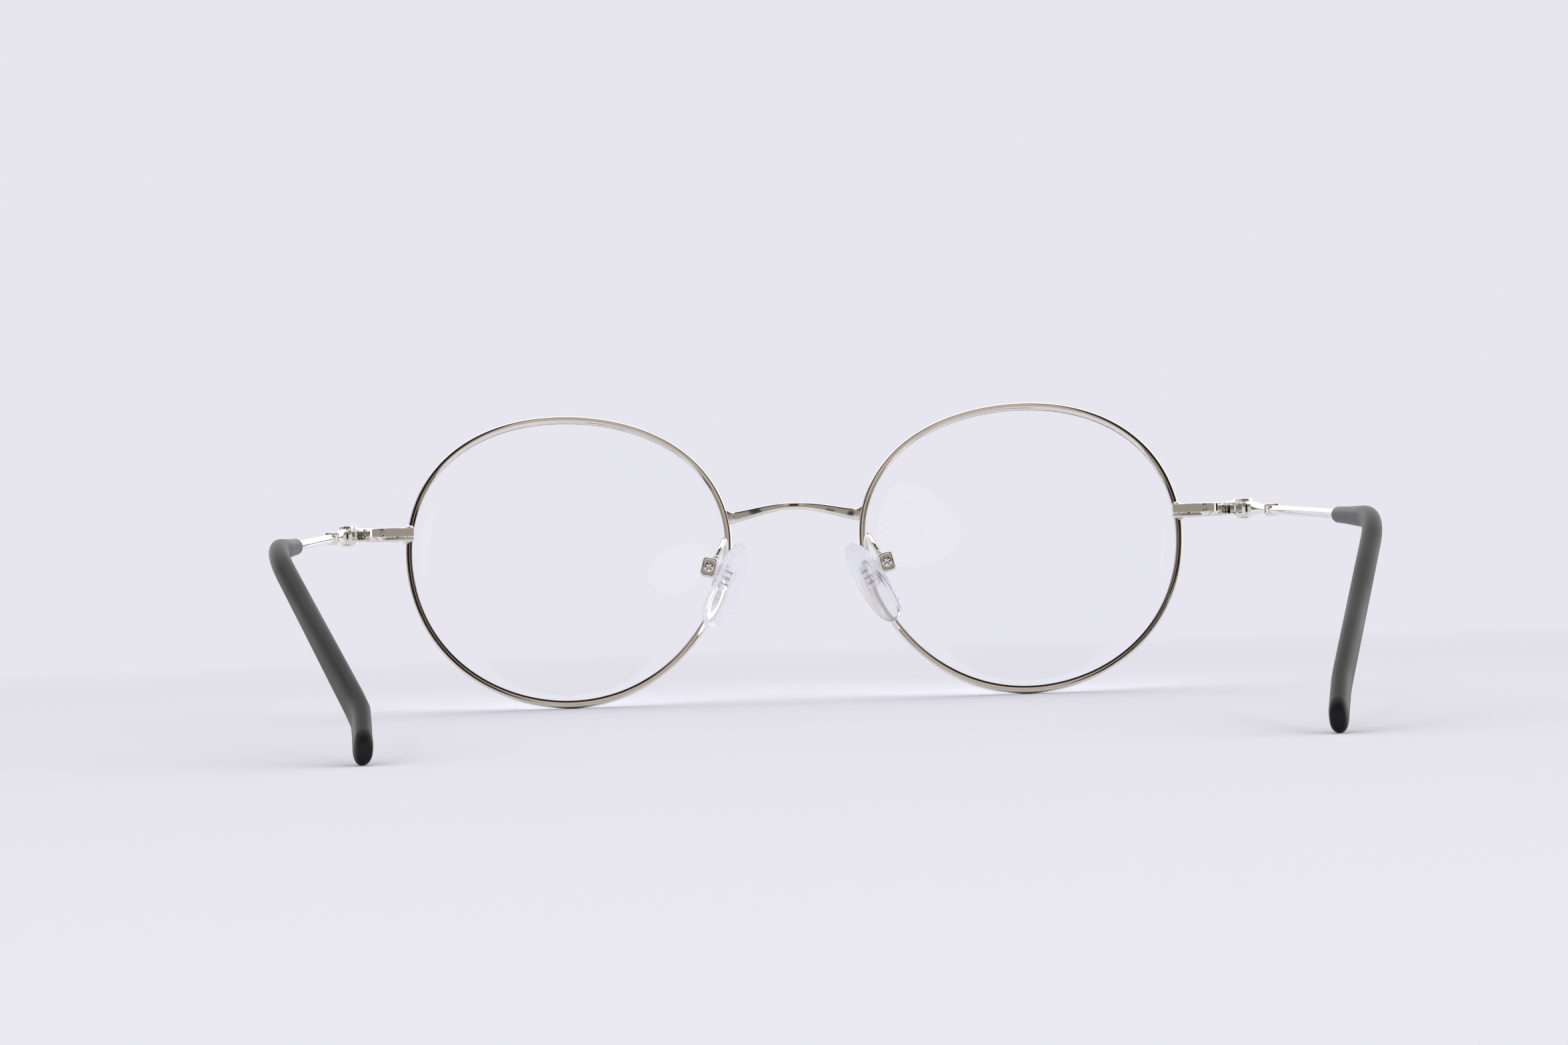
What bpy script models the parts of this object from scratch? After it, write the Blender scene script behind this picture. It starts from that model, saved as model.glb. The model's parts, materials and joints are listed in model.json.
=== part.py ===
"""Round wire eyeglasses, metres, +Z up.

The glasses stand on their two rims and two temple tips. The wearer looks along +Y, so +X is the
wearer's right and the temples run back along -Y.
"""

import math

import bpy
import bmesh
from mathutils import Matrix, Vector

# Everything below is worked out in millimetres and scaled once, when a mesh is made.
MM = 0.001

# Where the origin goes: this far behind the lowest point of the rims, so that it is mid-length.
ORIGIN_BACK = 70.64

# Lens and rim outline: a slightly flattened circle with three small lobes.
LENS_CENTRE_X = 34.36
RIM_HALF_WIDTH = 24.6
RIM_HALF_HEIGHT = 22.46
RIM_LOBES = ((3, -0.007, 0.021), (4, -0.005, -0.0044), (5, -0.002, 0.0))
RIM_SEGMENTS = 60
OUTLINE_SAMPLES = 720
PANTOSCOPIC_TILT = math.radians(10.1)
FACE_WRAP = math.radians(1.0)

# Rim wire section, across the outline and along the lens axis.
RIM_RADIAL = 1.0
RIM_DEPTH = 1.9
RIM_CORNER = 0.28
GROOVE_DEPTH = 0.38
GROOVE_HALF = 0.62
RIM_SPLIT_GAP = 0.3
# The tilted section reaches a little below the outline, so each rim is lifted to stand at z = 0.
RIM_LIFT = 0.11

LENS_CLEARANCE = 0.13
LENS_BEVEL_REACH = 0.22
LENS_BEVEL_HALF = 0.35
LENS_THICKNESS = 1.5
LENS_SAG = 2.0
LENS_RINGS = (0.12, 0.4, 0.7, 1.0)

# Endpiece strip: soldered in front of the closing block, then turned back to the hinge.
ENDPIECE_Z = 26.93
ENDPIECE_HEIGHT = 2.1
ENDPIECE_THICKNESS = 0.95
ENDPIECE_CORNER = 0.22
ENDPIECE_START_X = 58.75
ENDPIECE_TURN_X = 61.2
ENDPIECE_TURN_RADIUS = 4.6
ENDPIECE_FRONT_Y = 4.95
ENDPIECE_END_Y = -8.1
ENDPIECE_END_X = 65.75
TURN_STEPS = 12

# Closing block that clamps the split rim, behind the endpiece strip.
BLOCK_WIDTH = 2.95
BLOCK_DEPTH = 1.5
BLOCK_UPPER_HEIGHT = 1.3
BLOCK_LOWER_HEIGHT = 0.6
BLOCK_SPLIT = 0.12
BLOCK_BACK_Y = 3.6
BLOCK_EDGE = 0.12
LOCK_SCREW_REACH = 0.85
LOCK_SCREW_RADIUS = 0.4
LOCK_HEAD_RADIUS = 0.56
LOCK_HEAD_HEIGHT = 0.28

# Hinge: two front knuckles, one temple knuckle between them.
HINGE = (65.6, -10.0, 26.55)
KNUCKLE_RADIUS = 1.2
KNUCKLE_HEIGHT = 0.82
KNUCKLE_GAP = 0.1
PIN_RADIUS = 0.55
PIN_CLEARANCE = 0.07
PIN_HEAD_RADIUS = 0.95
PIN_HEAD_HEIGHT = 0.22
LEAF_THICKNESS = 0.55
LEAF_LENGTH = 4.2
LEAF_ARM = 2.1
FRONT_LEAF_GAP = 0.25
FRONT_LEAF_AHEAD = 1.35
TEMPLE_LEAF_GAP = 0.1
TEMPLE_LEAF_BEHIND = 1.75
ROUND_SIDES = 24

# Temple: flat bar, round wire, then a core inside the plastic tip.
# The two temples have been bent by wear, so they don't quite match.
BEND = {"left": (60.5, -108.5, 21.7), "right": (60.8, -108.5, 21.7)}
TIP = {"left": (44.6, -149.5, 1.05), "right": (46.0, -149.5, 1.05)}
# The last stretch of each tip turns a little outwards.
TIP_FLARE = {"left": 1.4, "right": 0.4}
FLARE_LENGTH = 9.0
BEND_RADIUS = 26.0
BAR_START = 1.75
BAR_HALF_WIDTH = 0.55
BAR_HALF_HEIGHT = 1.0
BAR_END = 20.5
BAR_STEPS = 6
BAR_TAPER_START = 4.0
BAR_FLAT = 0.22
WIRE_RADIUS = 0.62
CORE_RADIUS = 0.52
COLLAR_START = 24.7
COLLAR_LENGTH = 1.6
COLLAR_HALF_WIDTH = 0.86
COLLAR_HALF_HEIGHT = 0.86
COLLAR_CORNER = 0.14
COLLAR_END = 0.3
COLLAR_END_SCALE = 0.8
SLEEVE_START = 76.5
SLEEVE_FRONT_HALF = (0.95, 0.98)
SLEEVE_MIDDLE_HALF = (1.1, 1.3)
SLEEVE_BACK_HALF = (0.95, 1.85)
SLEEVE_CORNER = 0.5
SLEEVE_LIP = 0.12
SLEEVE_STRAIGHT_SHARES = (0.25, 0.5, 0.75, 0.88)
NOSE_LENGTH = 1.9
NOSE_SHARES = (0.3, 0.55, 0.75, 0.9, 1.0)
NOSE_NARROWING = 0.4
NOSE_BLUNT = 0.09
ARC_STEPS = 8
CORE_AHEAD = 3.0
CORE_STOP_SHORT = 9.0
BORE_PAST_CORE = 0.5
CORE_CLEARANCE = 0.12
TEMPLE_SIDES = 12

# Bridge: a flat strip, thin at the top of its arch.
BRIDGE_END_X = 9.6
BRIDGE_END_Y = 5.4
BRIDGE_END_Z = 27.85
BRIDGE_RISE = 1.62
BRIDGE_FORWARD = 1.6
BRIDGE_ARCH_POWER = 1.3
BRIDGE_END_HALF_HEIGHT = 0.88
BRIDGE_MIDDLE_HALF_HEIGHT = 0.54
BRIDGE_HALF_DEPTH = 0.9
BRIDGE_CORNER = 0.22
BRIDGE_STEPS = 24

# Nose pads, their screws and the boxes that hold them.
PAD_LENGTH = 13.6
PAD_WIDTH = 7.6
PAD_THICKNESS = 2.4
PAD_TAPER = 0.12
PAD_SPLAY = math.radians(31)
PAD_LEAN = {"left": math.radians(26.0), "right": math.radians(31.0)}
PIVOT_X = 13.15
PIVOT_Y = -4.6
PIVOT_Z = 20.35
PIVOT_TO_PAD = 3.35
PAD_BELOW_PIVOT = 1.4
BOX_LEAN = math.radians(14)
BOX_WIDTH = 2.3
BOX_DEPTH = 2.3
BOX_HEIGHT = 3.0
BOX_EDGE = 0.35
BOX_SLOT = 1.05
BOX_BACK_WALL = 0.4
PAD_SCREW_RADIUS = 0.38
PAD_SCREW_CLEARANCE = 0.07
PAD_HEAD_RADIUS = 0.75
PAD_HEAD_HEIGHT = 0.3
COUNTERBORE_GAP = 0.1
PAD_SEAT_GAP = 0.06
TAB_THICKNESS = 0.75
TAB_HALF_HEIGHT = 0.8
TAB_TAIL = 0.45
TAB_REACH = 2.62
TAB_TURN = math.radians(10)
INSERT_LENGTH = 3.6
INSERT_WIDTH = 2.6
INSERT_THICKNESS = 0.5
INSERT_BEHIND = 0.35
INSERT_ABOVE = 1.0
POCKET_CLEARANCE = 0.15
ARM_RADIUS = 0.42
ARM_ROUTE = (
    (10.75, 2.65, 21.2),
    (10.65, 2.4, 22.3),
    (10.6, 1.6, 23.4),
    (10.65, 0.4, 24.1),
    (10.8, -1.1, 24.4),
    (10.95, -2.6, 24.1),
    (11.3, -3.9, 23.2),
    (11.9, -4.5, 22.1),
)
ARM_SMOOTH_STEPS = 3

# Screws: a small gap under each head, a broken edge round it, and the driver slot.
SEAT_GAP = 0.08
HEAD_EDGE = 0.08
SLOT_WIDTH = 0.28
CUTTER_EXTRA = 1.0

SILVER = ((0.72, 0.71, 0.68), 0.12, 1.0)
DARK_PLASTIC = ((0.02, 0.02, 0.022), 0.3, 0.0)
CLEAR_LENS = ((0.95, 0.97, 0.98), 0.03, 0.0)
CLEAR_SILICONE = ((0.86, 0.89, 0.94), 0.15, 0.0)


def clear_scene():
    for old in list(bpy.data.objects):
        bpy.data.objects.remove(old, do_unlink=True)


def make_collection(name):
    collection = bpy.data.collections.new(name)
    bpy.context.scene.collection.children.link(collection)
    return collection


def make_material(name, look):
    colour, roughness, metallic = look
    material = bpy.data.materials.new(name)
    material.use_nodes = True
    shader = material.node_tree.nodes["Principled BSDF"]
    shader.inputs["Base Color"].default_value = (*colour, 1.0)
    shader.inputs["Roughness"].default_value = roughness
    shader.inputs["Metallic"].default_value = metallic
    return material


def finish_object(obj, look):
    """Link a piece among the parts and give it its own material."""
    parts.objects.link(obj)
    obj.data.materials.append(make_material(obj.name, look))
    return obj


def hide_helper(obj):
    """Keep a cutter, an addition or a guide out of the finished object."""
    helpers.objects.link(obj)
    obj.hide_render = True
    obj.display_type = "WIRE"
    return obj


def place(obj, location, rotation=None):
    matrix = rotation.to_4x4() if rotation else Matrix.Identity(4)
    obj.matrix_world = Matrix.Translation(shifted(location) * MM) @ matrix
    return obj


def shifted(point):
    """From the design's zero, at the rims' lowest points, to the part's origin."""
    return Vector(point) + Vector((0, ORIGIN_BACK, 0))


def to_mesh(name, build):
    """A mesh in metres from a bmesh that build() fills in millimetres."""
    shape = bmesh.new()
    build(shape)
    bmesh.ops.recalc_face_normals(shape, faces=shape.faces)
    bmesh.ops.scale(shape, vec=Vector((MM, MM, MM)), verts=shape.verts)
    mesh = bpy.data.meshes.new(name)
    shape.to_mesh(mesh)
    shape.free()
    mesh.shade_smooth()
    mesh.set_sharp_from_angle(angle=math.radians(35))
    return mesh


def loft_object(name, rings):
    """A closed solid through rings of unlike sections, with a flat cap at each end."""

    def build(shape):
        rows = [[shape.verts.new(point) for point in ring] for ring in rings]
        count = len(rows[0])
        for row, following in zip(rows, rows[1:]):
            for index in range(count):
                after = (index + 1) % count
                shape.faces.new((row[index], row[after], following[after], following[index]))
        shape.faces.new(rows[0])
        shape.faces.new(rows[-1])

    return bpy.data.objects.new(name, to_mesh(name, build))


def box_object(name, size, bevel=0.0):
    def build(shape):
        bmesh.ops.create_cube(shape, size=1.0)
        bmesh.ops.scale(shape, vec=Vector(size), verts=shape.verts)

    obj = bpy.data.objects.new(name, to_mesh(name, build))
    if bevel:
        rounded = obj.modifiers.new("rounded_edges", "BEVEL")
        rounded.width = bevel * MM
        rounded.segments = 2
    return obj


def cylinder_object(name, radius, height):
    def build(shape):
        bmesh.ops.create_cone(
            shape, cap_ends=True, segments=ROUND_SIDES, radius1=radius, radius2=radius, depth=height
        )

    return bpy.data.objects.new(name, to_mesh(name, build))


def turned_object(name, profile):
    """A profile of (radius, height) points, top to bottom, turned about Z."""
    mesh = bpy.data.meshes.new(name)
    points = [(radius * MM, 0, height * MM) for radius, height in profile]
    edges = [(index, index + 1) for index in range(len(points) - 1)]
    mesh.from_pydata(points, edges, [])
    obj = bpy.data.objects.new(name, mesh)
    turn = obj.modifiers.new("turn", "SCREW")
    turn.steps = ROUND_SIDES
    turn.render_steps = ROUND_SIDES
    turn.use_merge_vertices = True
    turn.merge_threshold = 0.00001
    turn.use_smooth_shade = True
    return obj


def combine(obj, other, operation):
    boolean = obj.modifiers.new(operation.lower() + "_" + other.name, "BOOLEAN")
    boolean.operation = operation
    boolean.solver = "EXACT"
    boolean.object = other


def screw_object(name, shank_radius, shank_length, head_radius, head_height):
    """A cheese-head screw: the head is above z = 0 and its shank hangs below."""
    profile = (
        (0, head_height),
        (head_radius - HEAD_EDGE, head_height),
        (head_radius, head_height - HEAD_EDGE),
        (head_radius, 0),
        (shank_radius, 0),
        (shank_radius, -shank_length),
        (0, -shank_length),
    )
    return turned_object(name, profile)


def cut_slot(screw, matrix, head_radius, head_height, count=1):
    """Driver slots across the head of a screw; two make a cross."""
    for index in range(count):
        size = (2 * head_radius + CUTTER_EXTRA, SLOT_WIDTH, head_height)
        cutter = hide_helper(box_object(f"{screw.name}_slot_{index}", size))
        turn = Matrix.Rotation(math.pi / 2 * index, 4, "Z")
        lift = Matrix.Translation(Vector((0, 0, head_height * MM)))
        cutter.matrix_world = matrix @ lift @ turn
        combine(screw, cutter, "DIFFERENCE")


def poly_curve(name, points, cyclic=False, flat=False):
    curve = bpy.data.curves.new(name, "CURVE")
    curve.dimensions = "2D" if flat else "3D"
    spline = curve.splines.new("POLY")
    spline.points.add(len(points) - 1)
    for knot, point in zip(spline.points, points):
        knot.co = (*(Vector(point) * MM), 1)
    spline.use_cyclic_u = cyclic
    spline.use_smooth = True
    curve.fill_mode = "NONE" if flat else "FULL"
    return curve


def chamfered_rectangle(half_x, half_y, corner):
    """Eight points round a rectangle with cut corners, anticlockwise."""
    points = []
    for sign_x, sign_y in ((1, 1), (-1, 1), (-1, -1), (1, -1)):
        along = (sign_x * half_x, sign_y * (half_y - corner))
        across = (sign_x * (half_x - corner), sign_y * half_y)
        points += [along, across] if sign_x == sign_y else [across, along]
    return points


def outline_point(angle, inset):
    """A point of the lens outline, inset from the rim's outer edge. Angle 0 is the temple side."""
    reach = 1.0
    for lobes, cosine, sine in RIM_LOBES:
        reach += cosine * math.cos(lobes * angle) + sine * math.sin(lobes * angle)
    x = (RIM_HALF_WIDTH - inset) * reach * math.cos(angle)
    y = (RIM_HALF_HEIGHT - inset) * reach * math.sin(angle)
    return x, y


def rim_rotation(side):
    """Local X across the lens, local Y up it, local Z out of it towards the wearer."""
    upright = Matrix.Rotation(math.pi / 2, 3, "X")
    tilt = Matrix.Rotation(-PANTOSCOPIC_TILT, 3, "X")
    wrap = Matrix.Rotation(-side * FACE_WRAP, 3, "Z")
    return tilt @ wrap @ upright


def lowest_of_outline():
    """How far the outline's lowest point is below its centre, in the lens plane."""
    turns = (math.tau * step / OUTLINE_SAMPLES for step in range(OUTLINE_SAMPLES))
    return -min(outline_point(angle, 0)[1] for angle in turns)


def rim_centre(side):
    drop = lowest_of_outline()
    height = drop * math.cos(PANTOSCOPIC_TILT)
    depth = drop * math.sin(PANTOSCOPIC_TILT)
    return Vector((side * LENS_CENTRE_X, depth, height + RIM_LIFT))


def split_angle():
    """Where the rim is cut: level with the middle of the endpiece."""
    rise = (ENDPIECE_Z - rim_centre(1).z) / math.cos(PANTOSCOPIC_TILT)
    return math.asin(rise / RIM_HALF_HEIGHT)


def rim_section():
    half_radial = RIM_RADIAL / 2
    half_depth = RIM_DEPTH / 2
    return (
        (half_radial, half_depth - RIM_CORNER),
        (half_radial - RIM_CORNER, half_depth),
        (RIM_CORNER - half_radial, half_depth),
        (-half_radial, GROOVE_HALF),
        (GROOVE_DEPTH - half_radial, 0),
        (-half_radial, -GROOVE_HALF),
        (RIM_CORNER - half_radial, -half_depth),
        (half_radial - RIM_CORNER, -half_depth),
        (half_radial, RIM_CORNER - half_depth),
    )


def make_rim(name, side, profile):
    """An open ring of grooved wire, split behind the endpiece."""
    opening = RIM_SPLIT_GAP / 2 / RIM_HALF_WIDTH
    start = split_angle() + opening
    sweep = math.tau - 2 * opening
    points = []
    for step in range(RIM_SEGMENTS + 1):
        x, y = outline_point(start + sweep * step / RIM_SEGMENTS, RIM_RADIAL / 2)
        points.append((side * x, y, 0))
    # Both rims run the same way round, so that the groove always faces the lens.
    if side < 0:
        points.reverse()
    curve = poly_curve(name, points, flat=True)
    curve.bevel_mode = "OBJECT"
    curve.bevel_object = profile
    curve.use_fill_caps = True
    rim = finish_object(bpy.data.objects.new(name, curve), SILVER)
    return place(rim, rim_centre(side), rim_rotation(side))


def make_lens(name, side):
    """A thin meniscus whose edge is bevelled into the rim's groove."""
    edge = RIM_RADIAL + LENS_CLEARANCE
    tip = edge - LENS_BEVEL_REACH - LENS_CLEARANCE
    half = LENS_THICKNESS / 2

    def ring(scale, depth, inset):
        points = []
        for step in range(RIM_SEGMENTS):
            # The lens follows the rim's own facets, so that the gap between them stays even.
            angle = split_angle() + math.tau * step / RIM_SEGMENTS
            x, y = outline_point(angle, inset)
            points.append(Vector((side * x * scale, y * scale, depth)))
        return points

    def sag(scale):
        return -LENS_SAG * (1 - scale * scale)

    front = [ring(scale, sag(scale) - half, edge) for scale in LENS_RINGS]
    rear = [ring(scale, sag(scale) + half, edge) for scale in reversed(LENS_RINGS)]
    bevel = [ring(1, -LENS_BEVEL_HALF, edge), ring(1, 0, tip), ring(1, LENS_BEVEL_HALF, edge)]
    lens = finish_object(loft_object(name, front + bevel + rear), CLEAR_LENS)
    return place(lens, rim_centre(side), rim_rotation(side))


def bridge_wave(x):
    return math.cos(math.pi / 2 * x / BRIDGE_END_X) ** BRIDGE_ARCH_POWER


def make_bridge(name):
    rings = []
    for step in range(BRIDGE_STEPS + 1):
        x = BRIDGE_END_X * (2 * step / BRIDGE_STEPS - 1)
        wave = bridge_wave(x) if abs(x) < BRIDGE_END_X else 0.0
        middle = Vector((x, BRIDGE_END_Y + BRIDGE_FORWARD * wave, BRIDGE_END_Z + BRIDGE_RISE * wave))
        half_height = BRIDGE_END_HALF_HEIGHT + (BRIDGE_MIDDLE_HALF_HEIGHT - BRIDGE_END_HALF_HEIGHT) * wave
        section = chamfered_rectangle(BRIDGE_HALF_DEPTH, half_height, BRIDGE_CORNER)
        rings.append([middle + Vector((0, y, z)) for y, z in section])
    bridge = finish_object(loft_object(name, rings), SILVER)
    return place(bridge, (0, 0, 0))


def endpiece_route(side):
    """Out from the rim, round the corner and back to the hinge, seen from above."""
    centre = Vector((ENDPIECE_TURN_X, ENDPIECE_FRONT_Y - ENDPIECE_TURN_RADIUS))
    points = [(ENDPIECE_START_X, ENDPIECE_FRONT_Y)]
    for step in range(TURN_STEPS + 1):
        angle = math.pi / 2 * (1 - step / TURN_STEPS)
        x = centre.x + ENDPIECE_TURN_RADIUS * math.cos(angle)
        y = centre.y + ENDPIECE_TURN_RADIUS * math.sin(angle)
        points.append((x, y))
    points.append((ENDPIECE_END_X, ENDPIECE_END_Y))
    return [(side * x, y, 0) for x, y in points]


def make_endpiece(name, side, profile):
    curve = poly_curve(name, endpiece_route(side), flat=True)
    curve.bevel_mode = "OBJECT"
    curve.bevel_object = profile
    curve.use_fill_caps = True
    endpiece = finish_object(bpy.data.objects.new(name, curve), SILVER)
    return place(endpiece, (0, 0, ENDPIECE_Z))


def lock_axis(side):
    """Middle of the closing block, above which and below which its halves lie."""
    x = ENDPIECE_START_X + BLOCK_WIDTH / 2
    y = BLOCK_BACK_Y
    z = ENDPIECE_Z - ENDPIECE_HEIGHT / 2 + BLOCK_LOWER_HEIGHT
    return Vector((side * x, y, z))


def make_lock(prefix, side):
    """Two halves of the closing block and the screw that draws them together from below."""
    middle = lock_axis(side)
    halves = (
        ("rim_lock_upper", BLOCK_UPPER_HEIGHT, BLOCK_SPLIT / 2 + BLOCK_UPPER_HEIGHT / 2),
        ("rim_lock_lower", BLOCK_LOWER_HEIGHT, -BLOCK_SPLIT / 2 - BLOCK_LOWER_HEIGHT / 2),
    )
    hole_radius = LOCK_SCREW_RADIUS + PIN_CLEARANCE
    for label, height, offset in halves:
        size = (BLOCK_WIDTH, BLOCK_DEPTH, height)
        half = finish_object(box_object(prefix + label, size, bevel=BLOCK_EDGE), SILVER)
        place(half, middle + Vector((0, 0, offset)))
        hole = cylinder_object(prefix + label + "_hole", hole_radius, 2 * BLOCK_UPPER_HEIGHT)
        place(hide_helper(hole), middle)
        combine(half, hole, "DIFFERENCE")
        if label == "rim_lock_lower":
            sink_radius = LOCK_HEAD_RADIUS + COUNTERBORE_GAP
            sink = cylinder_object(prefix + label + "_counterbore", sink_radius, 2 * LOCK_HEAD_HEIGHT)
            place(hide_helper(sink), middle + Vector((0, 0, offset - height / 2)))
            combine(half, sink, "DIFFERENCE")
    name = prefix + "rim_lock_screw"
    shank = (BLOCK_LOWER_HEIGHT + BLOCK_UPPER_HEIGHT) * LOCK_SCREW_REACH - LOCK_HEAD_HEIGHT
    screw = screw_object(name, LOCK_SCREW_RADIUS, shank, LOCK_HEAD_RADIUS, LOCK_HEAD_HEIGHT)
    seat = middle - Vector((0, 0, BLOCK_SPLIT / 2 + BLOCK_LOWER_HEIGHT - LOCK_HEAD_HEIGHT + SEAT_GAP))
    finish_object(screw, SILVER)
    place(screw, seat, Matrix.Rotation(math.pi, 3, "X"))
    cut_slot(screw, screw.matrix_world.copy(), LOCK_HEAD_RADIUS, LOCK_HEAD_HEIGHT)


def sided(side, point):
    """A point given for the right side, on either side."""
    return Vector((side * point[0], point[1], point[2]))


def side_label(side):
    return "right" if side > 0 else "left"


def temple_direction(side):
    bend = sided(side, BEND[side_label(side)])
    return (bend - sided(side, HINGE)).normalized()


def hinge_axis():
    """Square to the temple in side view, so the folded temple stays level."""
    back = temple_direction(1)
    return Vector((0, back.z, -back.y)).normalized()


def hinge_rotation(side):
    """Local Z up the pin, local -Y along the temple, local X outwards on the right side."""
    up = hinge_axis()
    forward = -temple_direction(side)
    forward = (forward - up * forward.dot(up)).normalized()
    across = forward.cross(up)
    return Matrix((across, forward, up)).transposed()


def knuckle_level(index):
    """Height of a knuckle's middle above the hinge's own: -1, 0 or 1."""
    return index * (KNUCKLE_HEIGHT + KNUCKLE_GAP)


def hinge_part(name, side, levels, leaf_size, leaf_offset, arm_size, arm_offset):
    """Knuckle rings joined to a flat leaf by short arms, bored for the pin."""
    rotation = hinge_rotation(side)
    origin = sided(side, HINGE)
    leaf = finish_object(box_object(name, leaf_size), SILVER)
    place(leaf, origin + rotation @ Vector(leaf_offset), rotation)
    for level in levels:
        height = Vector((0, 0, knuckle_level(level)))
        ring = cylinder_object(f"{name}_knuckle_{level}", KNUCKLE_RADIUS, KNUCKLE_HEIGHT)
        place(hide_helper(ring), origin + rotation @ height, rotation)
        combine(leaf, ring, "UNION")
        arm = box_object(f"{name}_arm_{level}", arm_size)
        place(hide_helper(arm), origin + rotation @ (Vector(arm_offset) + height), rotation)
        combine(leaf, arm, "UNION")
    bore_height = 3 * (KNUCKLE_HEIGHT + KNUCKLE_GAP) + CUTTER_EXTRA
    bore = cylinder_object(name + "_bore", PIN_RADIUS + PIN_CLEARANCE, bore_height)
    place(hide_helper(bore), origin, rotation)
    combine(leaf, bore, "DIFFERENCE")
    return leaf


def make_front_hinge(name, side):
    """The leaf lies on the endpiece's inner face; its two knuckles hold the pin."""
    inner = -side * (ENDPIECE_THICKNESS / 2 + LEAF_THICKNESS / 2 + FRONT_LEAF_GAP)
    height = 2 * KNUCKLE_HEIGHT + KNUCKLE_GAP
    leaf_size = (LEAF_THICKNESS, LEAF_LENGTH, height)
    leaf_offset = (inner, LEAF_LENGTH / 2 + FRONT_LEAF_AHEAD, 0)
    arm_size = (LEAF_THICKNESS, LEAF_ARM, KNUCKLE_HEIGHT)
    arm_offset = (inner, LEAF_ARM / 2, 0)
    return hinge_part(name, side, (-1, 1), leaf_size, leaf_offset, arm_size, arm_offset)


def make_temple_hinge(name, side):
    """The single knuckle between them, on a leaf soldered inside the temple bar."""
    inner = -side * (BAR_HALF_WIDTH + LEAF_THICKNESS / 2 + TEMPLE_LEAF_GAP)
    leaf_size = (LEAF_THICKNESS, LEAF_LENGTH, KNUCKLE_HEIGHT * 2)
    leaf_offset = (inner, -LEAF_LENGTH / 2 - TEMPLE_LEAF_BEHIND, 0)
    arm_size = (LEAF_THICKNESS, LEAF_ARM, KNUCKLE_HEIGHT)
    arm_offset = (inner, -LEAF_ARM / 2, 0)
    return hinge_part(name, side, (0,), leaf_size, leaf_offset, arm_size, arm_offset)


def make_hinge_screw(name, side):
    """The pin of the hinge, screwed in from below."""
    rotation = hinge_rotation(side)
    seat = knuckle_level(1) + KNUCKLE_HEIGHT / 2 + SEAT_GAP
    length = 3 * (KNUCKLE_HEIGHT + KNUCKLE_GAP)
    screw = screw_object(name, PIN_RADIUS, length, PIN_HEAD_RADIUS, PIN_HEAD_HEIGHT)
    finish_object(screw, SILVER)
    origin = sided(side, HINGE)
    place(screw, origin - rotation @ Vector((0, 0, seat)), rotation @ Matrix.Rotation(math.pi, 3, "X"))
    cut_slot(screw, screw.matrix_world.copy(), PIN_HEAD_RADIUS, PIN_HEAD_HEIGHT)
    return screw


def temple_route(side):
    """Straight from the hinge, one arc over the ear, straight to the tip: points and distances."""
    start = sided(side, HINGE)
    bend = sided(side, BEND[side_label(side)])
    tip = sided(side, TIP[side_label(side)])
    before = (bend - start).normalized()
    after = (tip - bend).normalized()
    turn = before.angle(after)
    tangent = BEND_RADIUS * math.tan(turn / 2)
    centre_way = (after - before).normalized()
    centre = bend + centre_way * (BEND_RADIUS / math.cos(turn / 2))
    arc_start = bend - before * tangent
    axis = before.cross(after).normalized()
    straight = (arc_start - start).length
    arc_length = BEND_RADIUS * turn
    last = (tip - bend).length - tangent

    def at(distance):
        if distance <= straight:
            return start + before * distance, before
        if distance <= straight + arc_length:
            angle = (distance - straight) / BEND_RADIUS
            turned = Matrix.Rotation(angle, 3, axis)
            return centre + turned @ (arc_start - centre), turned @ before
        beyond = distance - straight - arc_length
        flare = TIP_FLARE[side_label(side)] * smooth_step(last - FLARE_LENGTH, last, beyond)
        return bend + after * (tangent + beyond) + Vector((side * flare, 0, 0)), after

    return at, straight + arc_length + last, straight, arc_length


def across_and_up(side, way):
    """Directions square to the route: sideways (outwards), and upwards."""
    sideways = way.cross(Vector((0, 0, 1))).normalized()
    up = sideways.cross(way).normalized()
    return sideways, up


def round_section(half_width, half_height, sides):
    points = []
    for step in range(sides):
        angle = math.tau * (step + 0.5) / sides
        points.append((half_width * math.cos(angle), half_height * math.sin(angle)))
    return points


def section_at(at, side, distance, section, lift=0.0):
    middle, way = at(distance)
    sideways, up = across_and_up(side, way)
    return [middle + sideways * x + up * (y + lift) for x, y in section]


def smooth_step(low, high, value):
    share = min(max((value - low) / (high - low), 0), 1)
    return share * share * (3 - 2 * share)


def arc_distances(straight, arc_length):
    return [straight + arc_length * step / ARC_STEPS for step in range(ARC_STEPS + 1)]


def core_distances(straight, arc_length, total):
    ends = [SLEEVE_START - CORE_AHEAD, SLEEVE_START + CORE_AHEAD]
    return ends + arc_distances(straight, arc_length) + [total - CORE_STOP_SHORT]


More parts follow.
